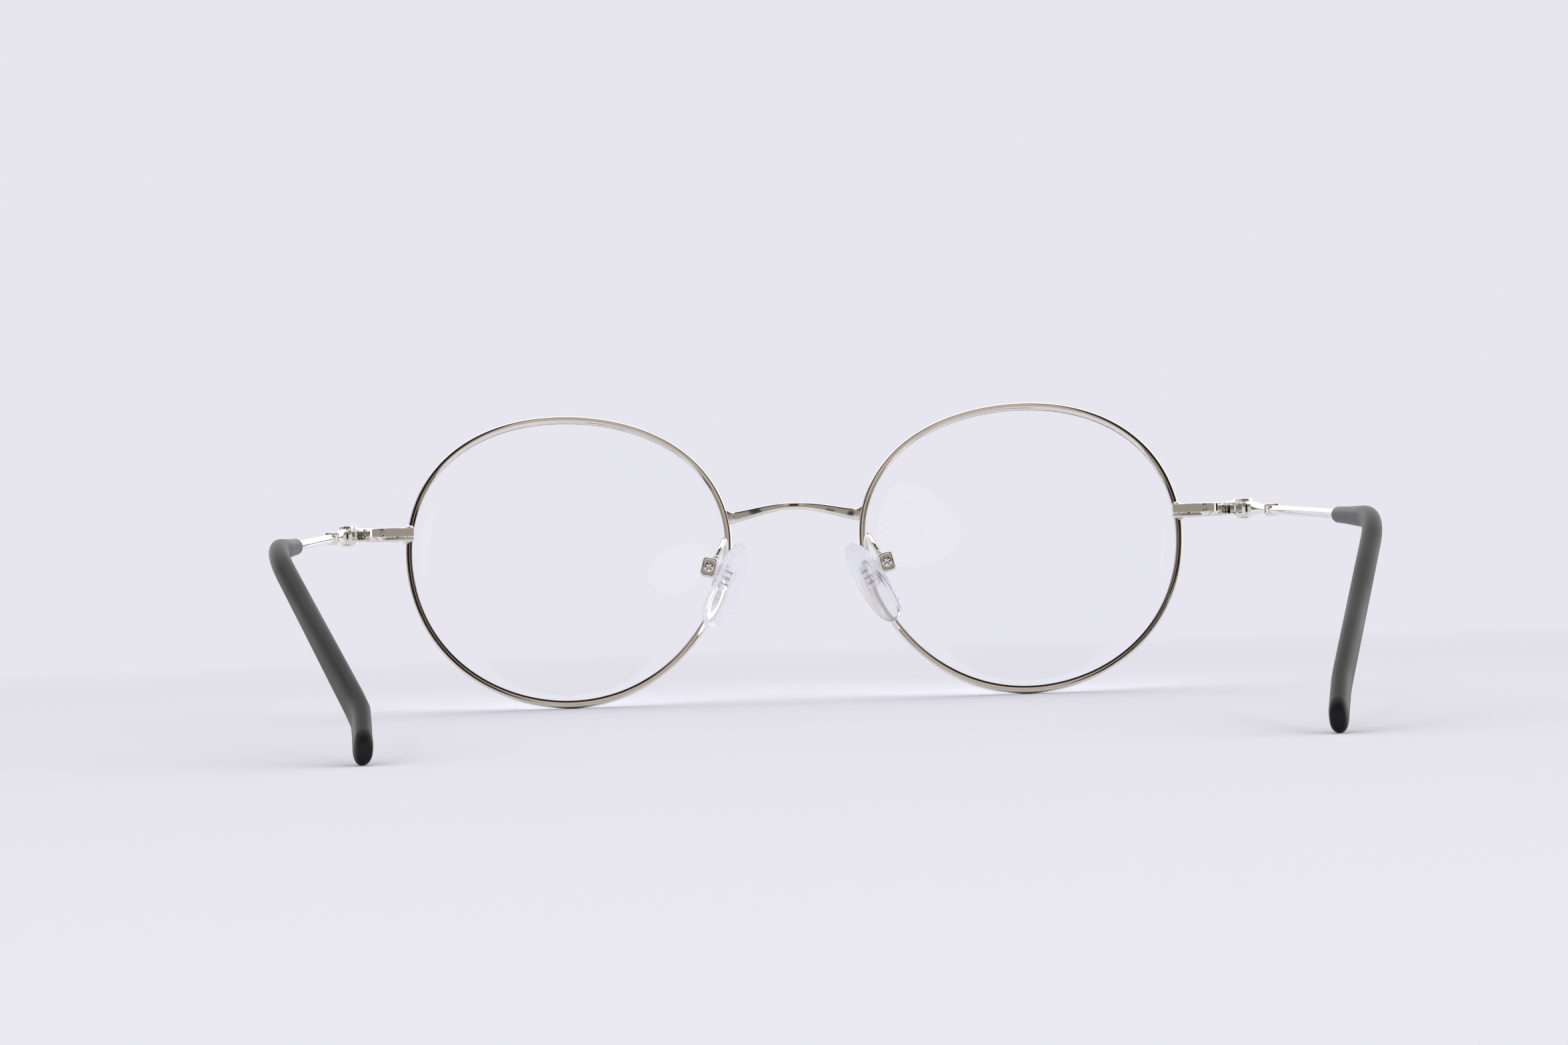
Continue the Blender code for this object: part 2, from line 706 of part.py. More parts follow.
def make_temple_bar(name, side):
    """Flat bar at the hinge, round wire to the ear, thinner core inside the tip sleeve."""
    at, total, straight, arc_length = temple_route(side)
    rings = []
    for step in range(BAR_STEPS + 1):
        distance = BAR_START + (BAR_END - BAR_START) * step / BAR_STEPS
        share = smooth_step(BAR_START + BAR_TAPER_START, BAR_END, distance)
        half_width = BAR_HALF_WIDTH + (WIRE_RADIUS - BAR_HALF_WIDTH) * share
        half_height = BAR_HALF_HEIGHT + (WIRE_RADIUS - BAR_HALF_HEIGHT) * share
        section = round_section(half_width, half_height, TEMPLE_SIDES)
        # Flatten the sides of the bar; the section is round again where the wire starts.
        limit = half_width * (1 - BAR_FLAT * (1 - share))
        section = [(max(-limit, min(limit, x)), y) for x, y in section]
        rings.append(section_at(at, side, distance, section))
    wire = round_section(WIRE_RADIUS, WIRE_RADIUS, TEMPLE_SIDES)
    core = round_section(CORE_RADIUS, CORE_RADIUS, TEMPLE_SIDES)
    rings.append(section_at(at, side, SLEEVE_START - CORE_AHEAD - 1, wire))
    for distance in core_distances(straight, arc_length, total):
        rings.append(section_at(at, side, distance, core))
    bar = finish_object(loft_object(name, rings), SILVER)
    return place(bar, (0, 0, 0))


def make_collar(name, side):
    """A short block with rounded ends on the wire, bored to slide over it."""
    at, _, _, _ = temple_route(side)
    rings = []
    small, full = COLLAR_END_SCALE, 1.0
    stations = ((0, small), (COLLAR_END, full), (COLLAR_LENGTH - COLLAR_END, full), (COLLAR_LENGTH, small))
    for distance, scale in stations:
        half = (COLLAR_HALF_WIDTH * scale, COLLAR_HALF_HEIGHT * scale)
        section = chamfered_rectangle(*half, COLLAR_CORNER)
        rings.append(section_at(at, side, COLLAR_START + distance, section))
    collar = finish_object(loft_object(name, rings), SILVER)
    place(collar, (0, 0, 0))
    reach = WIRE_RADIUS + SEAT_GAP
    bore = round_section(reach, reach, TEMPLE_SIDES)
    ends = (COLLAR_START - CUTTER_EXTRA, COLLAR_START + COLLAR_LENGTH + CUTTER_EXTRA)
    cutter = hide_helper(loft_object(name + "_bore", [section_at(at, side, end, bore) for end in ends]))
    place(cutter, (0, 0, 0))
    combine(collar, cutter, "DIFFERENCE")
    return collar


def blend_pair(first, second, share):
    return tuple(a + (b - a) * share for a, b in zip(first, second))


def make_sleeve(name, side):
    """Plastic tip: slim on the wire, deep and flat-sided behind the ear, with a round end."""
    at, total, straight, arc_length = temple_route(side)
    arc = arc_distances(straight, arc_length)
    after = straight + arc_length
    rest = [after + (total - after) * share for share in SLEEVE_STRAIGHT_SHARES]
    distances = [SLEEVE_START, SLEEVE_START + 2 * SLEEVE_LIP, (SLEEVE_START + straight) / 2] + arc + rest
    rings = []
    for distance in distances:
        share = smooth_step(SLEEVE_START, straight + arc_length / 2, distance)
        half = blend_pair(SLEEVE_FRONT_HALF, SLEEVE_MIDDLE_HALF, share)
        share = smooth_step(straight + arc_length / 2, total - NOSE_LENGTH, distance)
        half = blend_pair(half, SLEEVE_BACK_HALF, share)
        if distance == SLEEVE_START:
            half = (half[0] - SLEEVE_LIP, half[1] - SLEEVE_LIP)
        section = chamfered_rectangle(*half, SLEEVE_CORNER)
        rings.append(section_at(at, side, distance, section))
    # The end closes on a rounded nose, a quarter ellipse long.
    for step in NOSE_SHARES:
        scale = math.sqrt(max(1 - step * step, NOSE_BLUNT))
        width = SLEEVE_BACK_HALF[0] * (NOSE_NARROWING + (1 - NOSE_NARROWING) * scale)
        section = chamfered_rectangle(width, SLEEVE_BACK_HALF[1] * scale, SLEEVE_CORNER * scale)
        rings.append(section_at(at, side, total - NOSE_LENGTH * (1 - step), section))
    sleeve = finish_object(loft_object(name, rings), DARK_PLASTIC)
    place(sleeve, (0, 0, 0))
    reach = CORE_RADIUS + CORE_CLEARANCE
    bore = round_section(reach, reach, TEMPLE_SIDES)
    bored = core_distances(straight, arc_length, total)
    bored[-1] += BORE_PAST_CORE
    cutter = loft_object(name + "_bore", [section_at(at, side, value, bore) for value in bored])
    place(hide_helper(cutter), (0, 0, 0))
    combine(sleeve, cutter, "DIFFERENCE")
    return sleeve


def pivot_point(side):
    return Vector((side * PIVOT_X, PIVOT_Y, PIVOT_Z))


def pad_rotation(side, lean):
    """Local X faces the nose, local Y runs forwards along the pad, local Z up its length."""
    turn_in = Matrix.Rotation(math.pi if side > 0 else 0, 3, "Z")
    splay = Matrix.Rotation(side * PAD_SPLAY, 3, "Z")
    rock = Matrix.Rotation(-side * lean, 3, "Y")
    return rock @ splay @ turn_in


def pad_centre(side, lean):
    rock = Matrix.Rotation(-side * lean, 3, "Y")
    return pivot_point(side) + rock @ Vector((-side * PIVOT_TO_PAD, 0, -PAD_BELOW_PIVOT))


def make_nose_pad(name, side, lean):
    """A soft oval lens shape, a little narrower at the top, with a pocket at its back."""

    def build(shape):
        bmesh.ops.create_uvsphere(shape, u_segments=20, v_segments=12, radius=1.0)
        for vert in shape.verts:
            x, y, z = vert.co
            width = PAD_WIDTH / 2 * (1 - PAD_TAPER * z)
            vert.co = (x * PAD_THICKNESS / 2, y * width, z * PAD_LENGTH / 2)

    pad = bpy.data.objects.new(name, to_mesh(name, build))
    finish_object(pad, CLEAR_SILICONE)
    rotation = pad_rotation(side, lean)
    centre = pad_centre(side, lean)
    place(pad, centre, rotation)
    size = (PAD_THICKNESS, INSERT_WIDTH + 2 * POCKET_CLEARANCE, INSERT_LENGTH + 2 * POCKET_CLEARANCE)
    pocket = hide_helper(box_object(name + "_pocket", size))
    floor = -INSERT_BEHIND + INSERT_THICKNESS / 2 + POCKET_CLEARANCE
    place(pocket, centre + rotation @ Vector((floor - PAD_THICKNESS / 2, 0, INSERT_ABOVE)), rotation)
    combine(pad, pocket, "DIFFERENCE")
    return pad


def make_pad_insert(name, side, lean):
    """A plate seated in the pad's pocket with a tab that the pad box holds."""
    rotation = pad_rotation(side, lean)
    centre = pad_centre(side, lean)
    insert = finish_object(box_object(name, (INSERT_THICKNESS, INSERT_WIDTH, INSERT_LENGTH)), CLEAR_SILICONE)
    place(insert, centre + rotation @ Vector((-INSERT_BEHIND, 0, INSERT_ABOVE)), rotation)
    turn = Matrix.Rotation(-side * (lean - TAB_TURN), 3, "Y")
    tab = box_object(name + "_tab", (TAB_REACH + TAB_TAIL, TAB_THICKNESS, 2 * TAB_HALF_HEIGHT))
    middle = Vector((-side * (TAB_REACH - TAB_TAIL) / 2, 0, 0))
    place(hide_helper(tab), pivot_point(side) + turn @ middle, turn)
    combine(insert, tab, "UNION")
    hole = cylinder_object(name + "_hole", PAD_SCREW_RADIUS + PAD_SCREW_CLEARANCE, 2 * BOX_DEPTH)
    place(hide_helper(hole), pivot_point(side), Matrix.Rotation(math.pi / 2, 3, "X"))
    combine(insert, hole, "DIFFERENCE")
    return insert


def make_pad_box(name, side):
    """A small square cup, slotted from above to below on the side that faces the pad."""
    lean = Matrix.Rotation(-side * BOX_LEAN, 3, "Y")
    box = box_object(name, (BOX_WIDTH, BOX_DEPTH, BOX_HEIGHT), bevel=BOX_EDGE)
    place(finish_object(box, SILVER), pivot_point(side), lean)
    slot = box_object(name + "_slot", (BOX_WIDTH, BOX_SLOT, BOX_HEIGHT + CUTTER_EXTRA))
    place(hide_helper(slot), pivot_point(side) + lean @ Vector((-side * BOX_BACK_WALL, 0, 0)), lean)
    combine(box, slot, "DIFFERENCE")
    upright = Matrix.Rotation(math.pi / 2, 3, "X")
    hole = cylinder_object(name + "_hole", PAD_SCREW_RADIUS + PAD_SCREW_CLEARANCE, 2 * BOX_DEPTH)
    place(hide_helper(hole), pivot_point(side), upright)
    combine(box, hole, "DIFFERENCE")
    sink = cylinder_object(name + "_counterbore", PAD_HEAD_RADIUS + COUNTERBORE_GAP, 2 * PAD_HEAD_HEIGHT)
    place(hide_helper(sink), pivot_point(side) - Vector((0, BOX_DEPTH / 2, 0)), upright)
    combine(box, sink, "DIFFERENCE")
    return box


def make_pad_screw(name, side):
    height = PAD_HEAD_HEIGHT - PAD_SEAT_GAP
    screw = screw_object(name, PAD_SCREW_RADIUS, BOX_DEPTH - PAD_HEAD_HEIGHT, PAD_HEAD_RADIUS, height)
    finish_object(screw, SILVER)
    seat = pivot_point(side) - Vector((0, BOX_DEPTH / 2 - PAD_HEAD_HEIGHT + PAD_SEAT_GAP, 0))
    place(screw, seat, Matrix.Rotation(math.pi / 2, 3, "X"))
    cut_slot(screw, screw.matrix_world.copy(), PAD_HEAD_RADIUS, height, count=2)
    return screw


def smooth_route(knots, steps):
    """Catmull-Rom points through the knots."""
    points = [Vector(knot) for knot in knots]
    padded = [points[0] * 2 - points[1]] + points + [points[-1] * 2 - points[-2]]
    route = []
    for index in range(1, len(padded) - 2):
        a, b, c, d = padded[index - 1 : index + 3]
        for step in range(steps):
            t = step / steps
            route.append(
                0.5
                * (2 * b + (c - a) * t + (2 * a - 5 * b + 4 * c - d) * t**2 + (3 * b - a - 3 * c + d) * t**3)
            )
    route.append(points[-1])
    return route


def make_pad_arm(name, side):
    """A gooseneck wire from the rim's nasal side, up and over into the top of the pad box."""
    knots = [(side * x, y, z) for x, y, z in ARM_ROUTE]
    curve = poly_curve(name, smooth_route(knots, ARM_SMOOTH_STEPS))
    curve.bevel_depth = ARM_RADIUS * MM
    curve.bevel_resolution = 2
    curve.use_fill_caps = True
    arm = finish_object(bpy.data.objects.new(name, curve), SILVER)
    return place(arm, (0, 0, 0))


def make_profile(name, points):
    """A closed section to sweep; it runs clockwise, so that swept faces and end caps agree."""
    clockwise = [(x, y, 0) for x, y in reversed(points)]
    return hide_helper(bpy.data.objects.new(name, poly_curve(name, clockwise, True, True)))


def make_side(label, side):
    prefix = label + "_"
    lean = PAD_LEAN[label]
    make_rim(prefix + "rim", side, rim_profile)
    make_lens(prefix + "lens", side)
    make_endpiece(prefix + "endpiece", side, endpiece_profile)
    make_lock(prefix, side)
    make_front_hinge(prefix + "front_hinge", side)
    make_temple_hinge(prefix + "temple_hinge", side)
    make_hinge_screw(prefix + "hinge_screw", side)
    make_temple_bar(prefix + "temple_bar", side)
    make_collar(prefix + "temple_collar", side)
    make_sleeve(prefix + "tip_sleeve", side)
    make_pad_arm(prefix + "pad_arm", side)
    make_pad_box(prefix + "pad_box", side)
    make_pad_insert(prefix + "pad_insert", side, lean)
    make_pad_screw(prefix + "pad_screw", side)
    make_nose_pad(prefix + "nose_pad", side, lean)


clear_scene()
parts = make_collection("round_wire_eyeglasses")
helpers = make_collection("cutters_and_guides")
rim_profile = make_profile("rim_section", rim_section())
endpiece_profile = make_profile(
    "endpiece_section", chamfered_rectangle(ENDPIECE_THICKNESS / 2, ENDPIECE_HEIGHT / 2, ENDPIECE_CORNER)
)
make_bridge("bridge")
make_side("left", -1)
make_side("right", 1)
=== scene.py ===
import json
import math

import bmesh
import bpy
from mathutils import Matrix, Vector, noise


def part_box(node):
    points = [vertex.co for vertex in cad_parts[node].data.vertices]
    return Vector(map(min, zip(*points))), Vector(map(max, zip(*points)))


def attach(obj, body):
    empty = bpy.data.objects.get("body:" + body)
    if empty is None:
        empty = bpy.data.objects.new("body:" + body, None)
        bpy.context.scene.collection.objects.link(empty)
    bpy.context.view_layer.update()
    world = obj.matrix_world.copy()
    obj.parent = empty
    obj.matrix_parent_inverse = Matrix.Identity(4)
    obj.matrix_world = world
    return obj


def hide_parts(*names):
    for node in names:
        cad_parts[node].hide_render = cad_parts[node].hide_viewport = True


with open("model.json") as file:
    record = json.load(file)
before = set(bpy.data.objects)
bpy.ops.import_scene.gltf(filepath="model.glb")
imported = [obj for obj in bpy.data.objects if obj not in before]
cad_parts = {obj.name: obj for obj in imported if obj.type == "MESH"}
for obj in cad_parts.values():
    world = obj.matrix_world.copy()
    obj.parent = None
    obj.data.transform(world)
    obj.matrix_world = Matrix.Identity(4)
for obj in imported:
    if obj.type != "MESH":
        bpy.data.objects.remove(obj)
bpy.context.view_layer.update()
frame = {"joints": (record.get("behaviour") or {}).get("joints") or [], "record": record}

mm = 0.001
scene = bpy.context.scene
record = frame["record"]
sides = {"left": -1, "right": 1}


def bodyOf(node):
    for body, members in record["behaviour"]["bodies"].items():
        if node in members:
            return body


def jointPlace(name):
    joint = next(j for j in frame["joints"] if j["name"] == name)
    return Vector(joint["pos_m"]) / mm, Vector(joint["axis"])


def boxOf(node):
    low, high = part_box(node)
    return low / mm, high / mm


def finishMesh(name, shape, sharpAngle=40):
    # everything is drawn in millimetres and scaled here
    bmesh.ops.recalc_face_normals(shape, faces=shape.faces)
    bmesh.ops.scale(shape, vec=Vector((mm, mm, mm)), verts=shape.verts)
    mesh = bpy.data.meshes.new(name)
    shape.to_mesh(mesh)
    shape.free()
    mesh.shade_smooth()
    mesh.set_sharp_from_angle(angle=math.radians(sharpAngle))
    piece = bpy.data.objects.new(name, mesh)
    scene.collection.objects.link(piece)
    return piece


def loft(name, rings, loop=False, sharpAngle=40):
    # skin through rings of points that run the same way round, with flat ends
    shape = bmesh.new()
    rows = [[shape.verts.new(point) for point in ring] for ring in rings]
    pairs = list(zip(rows, rows[1:] + rows[:1])) if loop else list(zip(rows, rows[1:]))
    count = len(rows[0])
    for row, following in pairs:
        for index in range(count):
            after = (index + 1) % count
            shape.faces.new((row[index], row[after], following[after], following[index]))
    if not loop:
        shape.faces.new(rows[0])
        shape.faces.new(rows[-1])
    return finishMesh(name, shape, sharpAngle)


def fitRings(rings, node, shrink=0.0):
    # stretch a drawn shape by a hair, so that it fills its node's box exactly
    low, high = boxOf(node)
    points = [point for ring in rings for point in ring]
    fitted = []
    for ring in rings:
        fitted.append([point.copy() for point in ring])
    for axis in range(3):
        drawnLow = min(point[axis] for point in points)
        drawnHigh = max(point[axis] for point in points)
        wantLow, wantHigh = low[axis] + shrink, high[axis] - shrink
        scale = (wantHigh - wantLow) / (drawnHigh - drawnLow)
        for ring in fitted:
            for point in ring:
                point[axis] = wantLow + (point[axis] - drawnLow) * scale
    return fitted


def roundedOutline(corners, steps=5):
    # corners are (u, v, radius) anticlockwise; each becomes a short arc
    points = []
    count = len(corners)
    for index, (u, v, radius) in enumerate(corners):
        here = Vector((u, v))
        before = Vector(corners[index - 1][:2]) - here
        after = Vector(corners[(index + 1) % count][:2]) - here
        before.normalize()
        after.normalize()
        half = before.angle(after) / 2
        reach = radius / math.tan(half)
        start = here + before * reach
        end = here + after * reach
        centre = here + (before + after).normalized() * (radius / math.sin(half))
        for step in range(steps + 1):
            share = step / steps
            spoke = (start - centre).slerp(end - centre, share, start - centre)
            points.append(centre + spoke.normalized() * radius)
    return points


def roundedRectangle(halfU, halfV, radius, steps=5):
    corners = [(halfU, halfV), (-halfU, halfV), (-halfU, -halfV), (halfU, -halfV)]
    return roundedOutline([(u, v, radius) for u, v in corners], steps)


def ovalSection(halfU, halfV, power=2.0, count=40):
    # power 2 is an ellipse; higher is squarer
    points = []
    for step in range(count):
        angle = math.tau * (step + 0.5) / count
        c, s = math.cos(angle), math.sin(angle)
        points.append(Vector((
            halfU * math.copysign(abs(c) ** (2 / power), c),
            halfV * math.copysign(abs(s) ** (2 / power), s),
        )))
    return points


def smoothStep(low, high, value):
    share = min(max((value - low) / (high - low), 0), 1)
    return share * share * (3 - 2 * share)


def mix(first, second, share):
    return first + (second - first) * share


def smoothRoute(knots, steps):
    # Catmull-Rom through the knots
    points = [Vector(knot) for knot in knots]
    padded = [points[0] * 2 - points[1]] + points + [points[-1] * 2 - points[-2]]
    route = []
    for index in range(1, len(padded) - 2):
        a, b, c, d = padded[index - 1:index + 3]
        for step in range(steps):
            t = step / steps
            route.append(0.5 * (2 * b + (c - a) * t + (2 * a - 5 * b + 4 * c - d) * t ** 2
                                + (3 * b - a - 3 * c + d) * t ** 3))
    route.append(points[-1])
    return route


def tubeRings(route, radii, count=24):
    # rings along a route, each turned from the last so that they never twist
    rings = []
    side = None
    for index, point in enumerate(route):
        ahead = route[min(index + 1, len(route) - 1)]
        behind = route[max(index - 1, 0)]
        way = (ahead - behind).normalized()
        if side is None:
            side = way.orthogonal().normalized()
        side = (side - way * side.dot(way)).normalized()
        up = way.cross(side)
        rings.append([point + (side * math.cos(math.tau * k / count) + up * math.sin(math.tau * k / count))
                      * radii[index] for k in range(count)])
    return rings


def boxPiece(name, size, bevel, segments=4):
    shape = bmesh.new()
    bmesh.ops.create_cube(shape, size=1.0)
    bmesh.ops.scale(shape, vec=Vector(size), verts=shape.verts)
    if bevel:
        bmesh.ops.bevel(shape, geom=shape.edges, offset=bevel, segments=segments, profile=0.5, affect="EDGES")
    return finishMesh(name, shape)


def cushionPiece(name, size, radius, edge):
    # a block with corners well rounded as seen along Y, and a narrow rounded edge front and back
    rings = []
    for end in (-1, 1):
        for step in range(5):
            angle = math.pi / 2 * (step / 4 if end < 0 else 1 - step / 4)
            inset = edge * (1 - math.sin(angle))
            y = end * (size[1] / 2 - edge * (1 - math.cos(angle)))
            outline = roundedRectangle(size[0] / 2 - inset, size[2] / 2 - inset, radius - inset, 7)
            rings.append([Vector((u, y, v)) for u, v in outline])
    return loft(name, rings)


def turnedPiece(name, profile, count=48):
    # (radius, height) points from top to bottom, turned about Z
    rings = []
    for radius, height in profile:
        rings.append([Vector((radius * math.cos(math.tau * k / count),
                              radius * math.sin(math.tau * k / count), height))
                      for k in range(count)])
    return loft(name, rings, sharpAngle=35)


def bakeMesh(piece):
    # make the modifiers' result the piece's own mesh
    bpy.context.view_layer.update()
    graph = bpy.context.evaluated_depsgraph_get()
    mesh = bpy.data.meshes.new_from_object(piece.evaluated_get(graph))
    piece.modifiers.clear()
    piece.data = mesh
    mesh.transform(piece.matrix_world)
    piece.matrix_world = Matrix.Identity(4)
    mesh.shade_smooth()
    mesh.set_sharp_from_angle(angle=math.radians(40))
    return piece


def cutAndJoin(piece, tools, edge=0.0):
    # tools are (object, operation); they are used up
    for tool, operation in tools:
        change = piece.modifiers.new(tool.name, "BOOLEAN")
        change.operation = operation
        change.solver = "EXACT"
        change.object = tool
    if edge:
        rounding = piece.modifiers.new("edge", "BEVEL")
        rounding.width = edge * mm
        rounding.segments = 2
        rounding.limit_method = "ANGLE"
        rounding.angle_limit = math.radians(40)
    bakeMesh(piece)
    for tool, _ in tools:
        bpy.data.objects.remove(tool)
    return piece


def put(piece, location, rotation=None):
    turn = rotation.to_4x4() if rotation else Matrix.Identity(4)
    piece.matrix_world = Matrix.Translation(Vector(location) * mm) @ turn
    return piece


def settle(piece, material, node, standsFor=True):
    # flat faces keep their own shading, and the rounded edges take up the turn
    evenly = piece.modifiers.new("evenShading", "WEIGHTED_NORMAL")
    evenly.weight = 90
    evenly.keep_sharp = True
    piece.data.materials.clear()
    piece.data.materials.append(material)
    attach(piece, bodyOf(node))
    if standsFor:
        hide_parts(node)
    return piece


def newGroup(name, inputs, outputs):
    group = bpy.data.node_groups.new(name, "ShaderNodeTree")
    for label, kind, default in inputs:
        socket = group.interface.new_socket(name=label, in_out="INPUT", socket_type=kind)
        socket.default_value = default
    for label, kind in outputs:
        group.interface.new_socket(name=label, in_out="OUTPUT", socket_type=kind)
    return group


def addNode(tree, kind, **settings):
    node = tree.nodes.new(kind)
    for key, value in settings.items():
        setattr(node, key, value)
    return node


def calculate(tree, operation, first, second=0.0, third=None):
    node = addNode(tree, "ShaderNodeMath", operation=operation)
    values = (first, second) if third is None else (first, second, third)
    for socket, value in zip(node.inputs, values):
        if isinstance(value, bpy.types.NodeSocket):
            tree.links.new(value, socket)
        else:
            socket.default_value = value
    return node.outputs[0]


def spread(tree, value, fromLow, fromHigh, toLow, toHigh):
    node = addNode(tree, "ShaderNodeMapRange")
    tree.links.new(value, node.inputs["Value"])
    for label, number in (("From Min", fromLow), ("From Max", fromHigh), ("To Min", toLow),
                          ("To Max", toHigh)):
        node.inputs[label].default_value = number
    return node.outputs["Result"]


def blendColour(tree, share, first, second):
    node = addNode(tree, "ShaderNodeMix", data_type="RGBA")
    for socket, value in ((node.inputs["Factor"], share), (node.inputs["A"], first),
                          (node.inputs["B"], second)):
        if isinstance(value, bpy.types.NodeSocket):
            tree.links.new(value, socket)
        elif hasattr(value, "__len__"):
            socket.default_value = (*value, 1.0)
        else:
            socket.default_value = value
    return node.outputs["Result"]


def makePolishWear():
    # soft buffing waves, fine hair scratches and a faint smudge, for metal and plastic
    group = newGroup("polishWear",
                     [("Wave Scale", "NodeSocketFloat", 400.0), ("Scratch Scale", "NodeSocketFloat", 900.0),
                      ("Smudge Scale", "NodeSocketFloat", 120.0)],
                     [("Waves", "NodeSocketFloat"), ("Scratches", "NodeSocketFloat"),
                      ("Smudge", "NodeSocketFloat")])
    entry = addNode(group, "NodeGroupInput")
    leave = addNode(group, "NodeGroupOutput")
    place = addNode(group, "ShaderNodeTexCoord")
    stretch = addNode(group, "ShaderNodeMapping")
    stretch.inputs["Scale"].default_value = (1.0, 0.06, 1.0)
    group.links.new(place.outputs["Object"], stretch.inputs["Vector"])
    for source, label, outputLabel, detail in (
            (place.outputs["Object"], "Wave Scale", "Waves", 2.0),
            (stretch.outputs["Vector"], "Scratch Scale", "Scratches", 4.0),
            (place.outputs["Object"], "Smudge Scale", "Smudge", 5.0)):
        cloud = addNode(group, "ShaderNodeTexNoise")
        cloud.inputs["Detail"].default_value = detail
        group.links.new(source, cloud.inputs["Vector"])
        group.links.new(entry.outputs[label], cloud.inputs["Scale"])
        group.links.new(cloud.outputs["Fac"], leave.inputs[outputLabel])
    return group


polishWear = makePolishWear()


def newMaterial(name):
    material = bpy.data.materials.new(name)
    material.use_nodes = True
    tree = material.node_tree
    return material, tree, tree.nodes["Principled BSDF"]


def addWear(tree, waveScale, scratchScale, smudgeScale):
    wear = addNode(tree, "ShaderNodeGroup", node_tree=polishWear)
    for label, value in (("Wave Scale", waveScale), ("Scratch Scale", scratchScale),
                         ("Smudge Scale", smudgeScale)):
        wear.inputs[label].default_value = value
    return wear


def addBump(tree, shader, height, strength, distance):
    bump = addNode(tree, "ShaderNodeBump")
    bump.inputs["Strength"].default_value = strength
    bump.inputs["Distance"].default_value = distance * mm
    tree.links.new(height, bump.inputs["Height"])
    tree.links.new(bump.outputs["Normal"], shader.inputs["Normal"])


polishedMetal = {
    "bright": (0.86, 0.845, 0.81), "dull": (0.80, 0.78, 0.735),
    "smooth": 0.035, "rough": 0.10, "wave": 500.0, "scratch": 1500.0, "smudge": 160.0, "bump": 0.06,
}


def makeMetal(name, look):
    material, tree, shader = newMaterial(name)
    wear = addWear(tree, look["wave"], look["scratch"], look["smudge"])
    smudge = spread(tree, wear.outputs["Smudge"], 0.35, 0.7, 0.0, 1.0)
    tree.links.new(blendColour(tree, smudge, look["bright"], look["dull"]), shader.inputs["Base Color"])
    tree.links.new(spread(tree, wear.outputs["Smudge"], 0.3, 0.75, look["smooth"], look["rough"]),
                   shader.inputs["Roughness"])
    shader.inputs["Metallic"].default_value = 1.0
    addBump(tree, shader, wear.outputs["Scratches"], look["bump"], 0.01)
    return material


solderMetal = dict(polishedMetal, bright=(0.88, 0.87, 0.84), rough=0.2, smooth=0.09, wave=1400.0, bump=0.35)

tipPlastic = {
    "dark": (0.008, 0.008, 0.009), "worn": (0.013, 0.013, 0.014), "smooth": 0.34, "rough": 0.42,
    "wave": 90.0, "scratch": 500.0, "smudge": 70.0, "bump": 0.02, "ior": 1.25,
}


def makeTipPlastic(name, look):
    material, tree, shader = newMaterial(name)
    wear = addWear(tree, look["wave"], look["scratch"], look["smudge"])
    smudge = spread(tree, wear.outputs["Smudge"], 0.35, 0.7, 0.0, 1.0)
    tree.links.new(blendColour(tree, smudge, look["dark"], look["worn"]), shader.inputs["Base Color"])
    tree.links.new(spread(tree, wear.outputs["Waves"], 0.3, 0.7, look["smooth"], look["rough"]),
                   shader.inputs["Roughness"])
    shader.inputs["IOR"].default_value = look["ior"]
    addBump(tree, shader, wear.outputs["Scratches"], look["bump"], 0.02)
    return material


# the lenses' coating takes away nearly all of their reflection, so both indices are low
lensPlastic = {"clear": (1.0, 1.0, 1.0), "faint": (0.994, 0.996, 0.999), "smooth": 0.0, "rough": 0.0,
               "ior": 1.1, "bump": 0.0, "smudge": 45.0, "through": 1.0}
padSilicone = {"clear": (0.985, 0.988, 1.0), "faint": (0.91, 0.925, 0.97), "smooth": 0.06, "rough": 0.15,
               "ior": 1.1, "bump": 0.15, "smudge": 260.0, "through": 0.8}
padFrame = dict(padSilicone, clear=(0.96, 0.95, 0.97), faint=(0.86, 0.85, 0.89), ior=1.2, through=0.8)


def makeClear(name, look):
    # see-through plastic; its shadow is let through, as thin clear plastic leaves almost none
    material, tree, shader = newMaterial(name)
    wear = addWear(tree, 220.0, 600.0, look["smudge"])
    smudge = spread(tree, wear.outputs["Smudge"], 0.4, 0.75, 0.0, 1.0)
    tree.links.new(blendColour(tree, smudge, look["clear"], look["faint"]), shader.inputs["Base Color"])
    tree.links.new(spread(tree, wear.outputs["Smudge"], 0.35, 0.75, look["smooth"], look["rough"]),
                   shader.inputs["Roughness"])
    shader.inputs["IOR"].default_value = look["ior"]
    shader.inputs["Transmission Weight"].default_value = look["through"]
    if look["bump"]:
        addBump(tree, shader, wear.outputs["Waves"], look["bump"], 0.02)
    through = addNode(tree, "ShaderNodeBsdfTransparent")
    path = addNode(tree, "ShaderNodeLightPath")
    either = addNode(tree, "ShaderNodeMixShader")
    output = next(node for node in tree.nodes if node.type == "OUTPUT_MATERIAL")
    tree.links.new(path.outputs["Is Shadow Ray"], either.inputs[0])
    tree.links.new(shader.outputs[0], either.inputs[1])
    tree.links.new(through.outputs[0], either.inputs[2])
    tree.links.new(either.outputs[0], output.inputs["Surface"])
    return material


padCore = {"pale": (0.47, 0.43, 0.42), "grey": (0.28, 0.25, 0.24), "wave": 900.0}


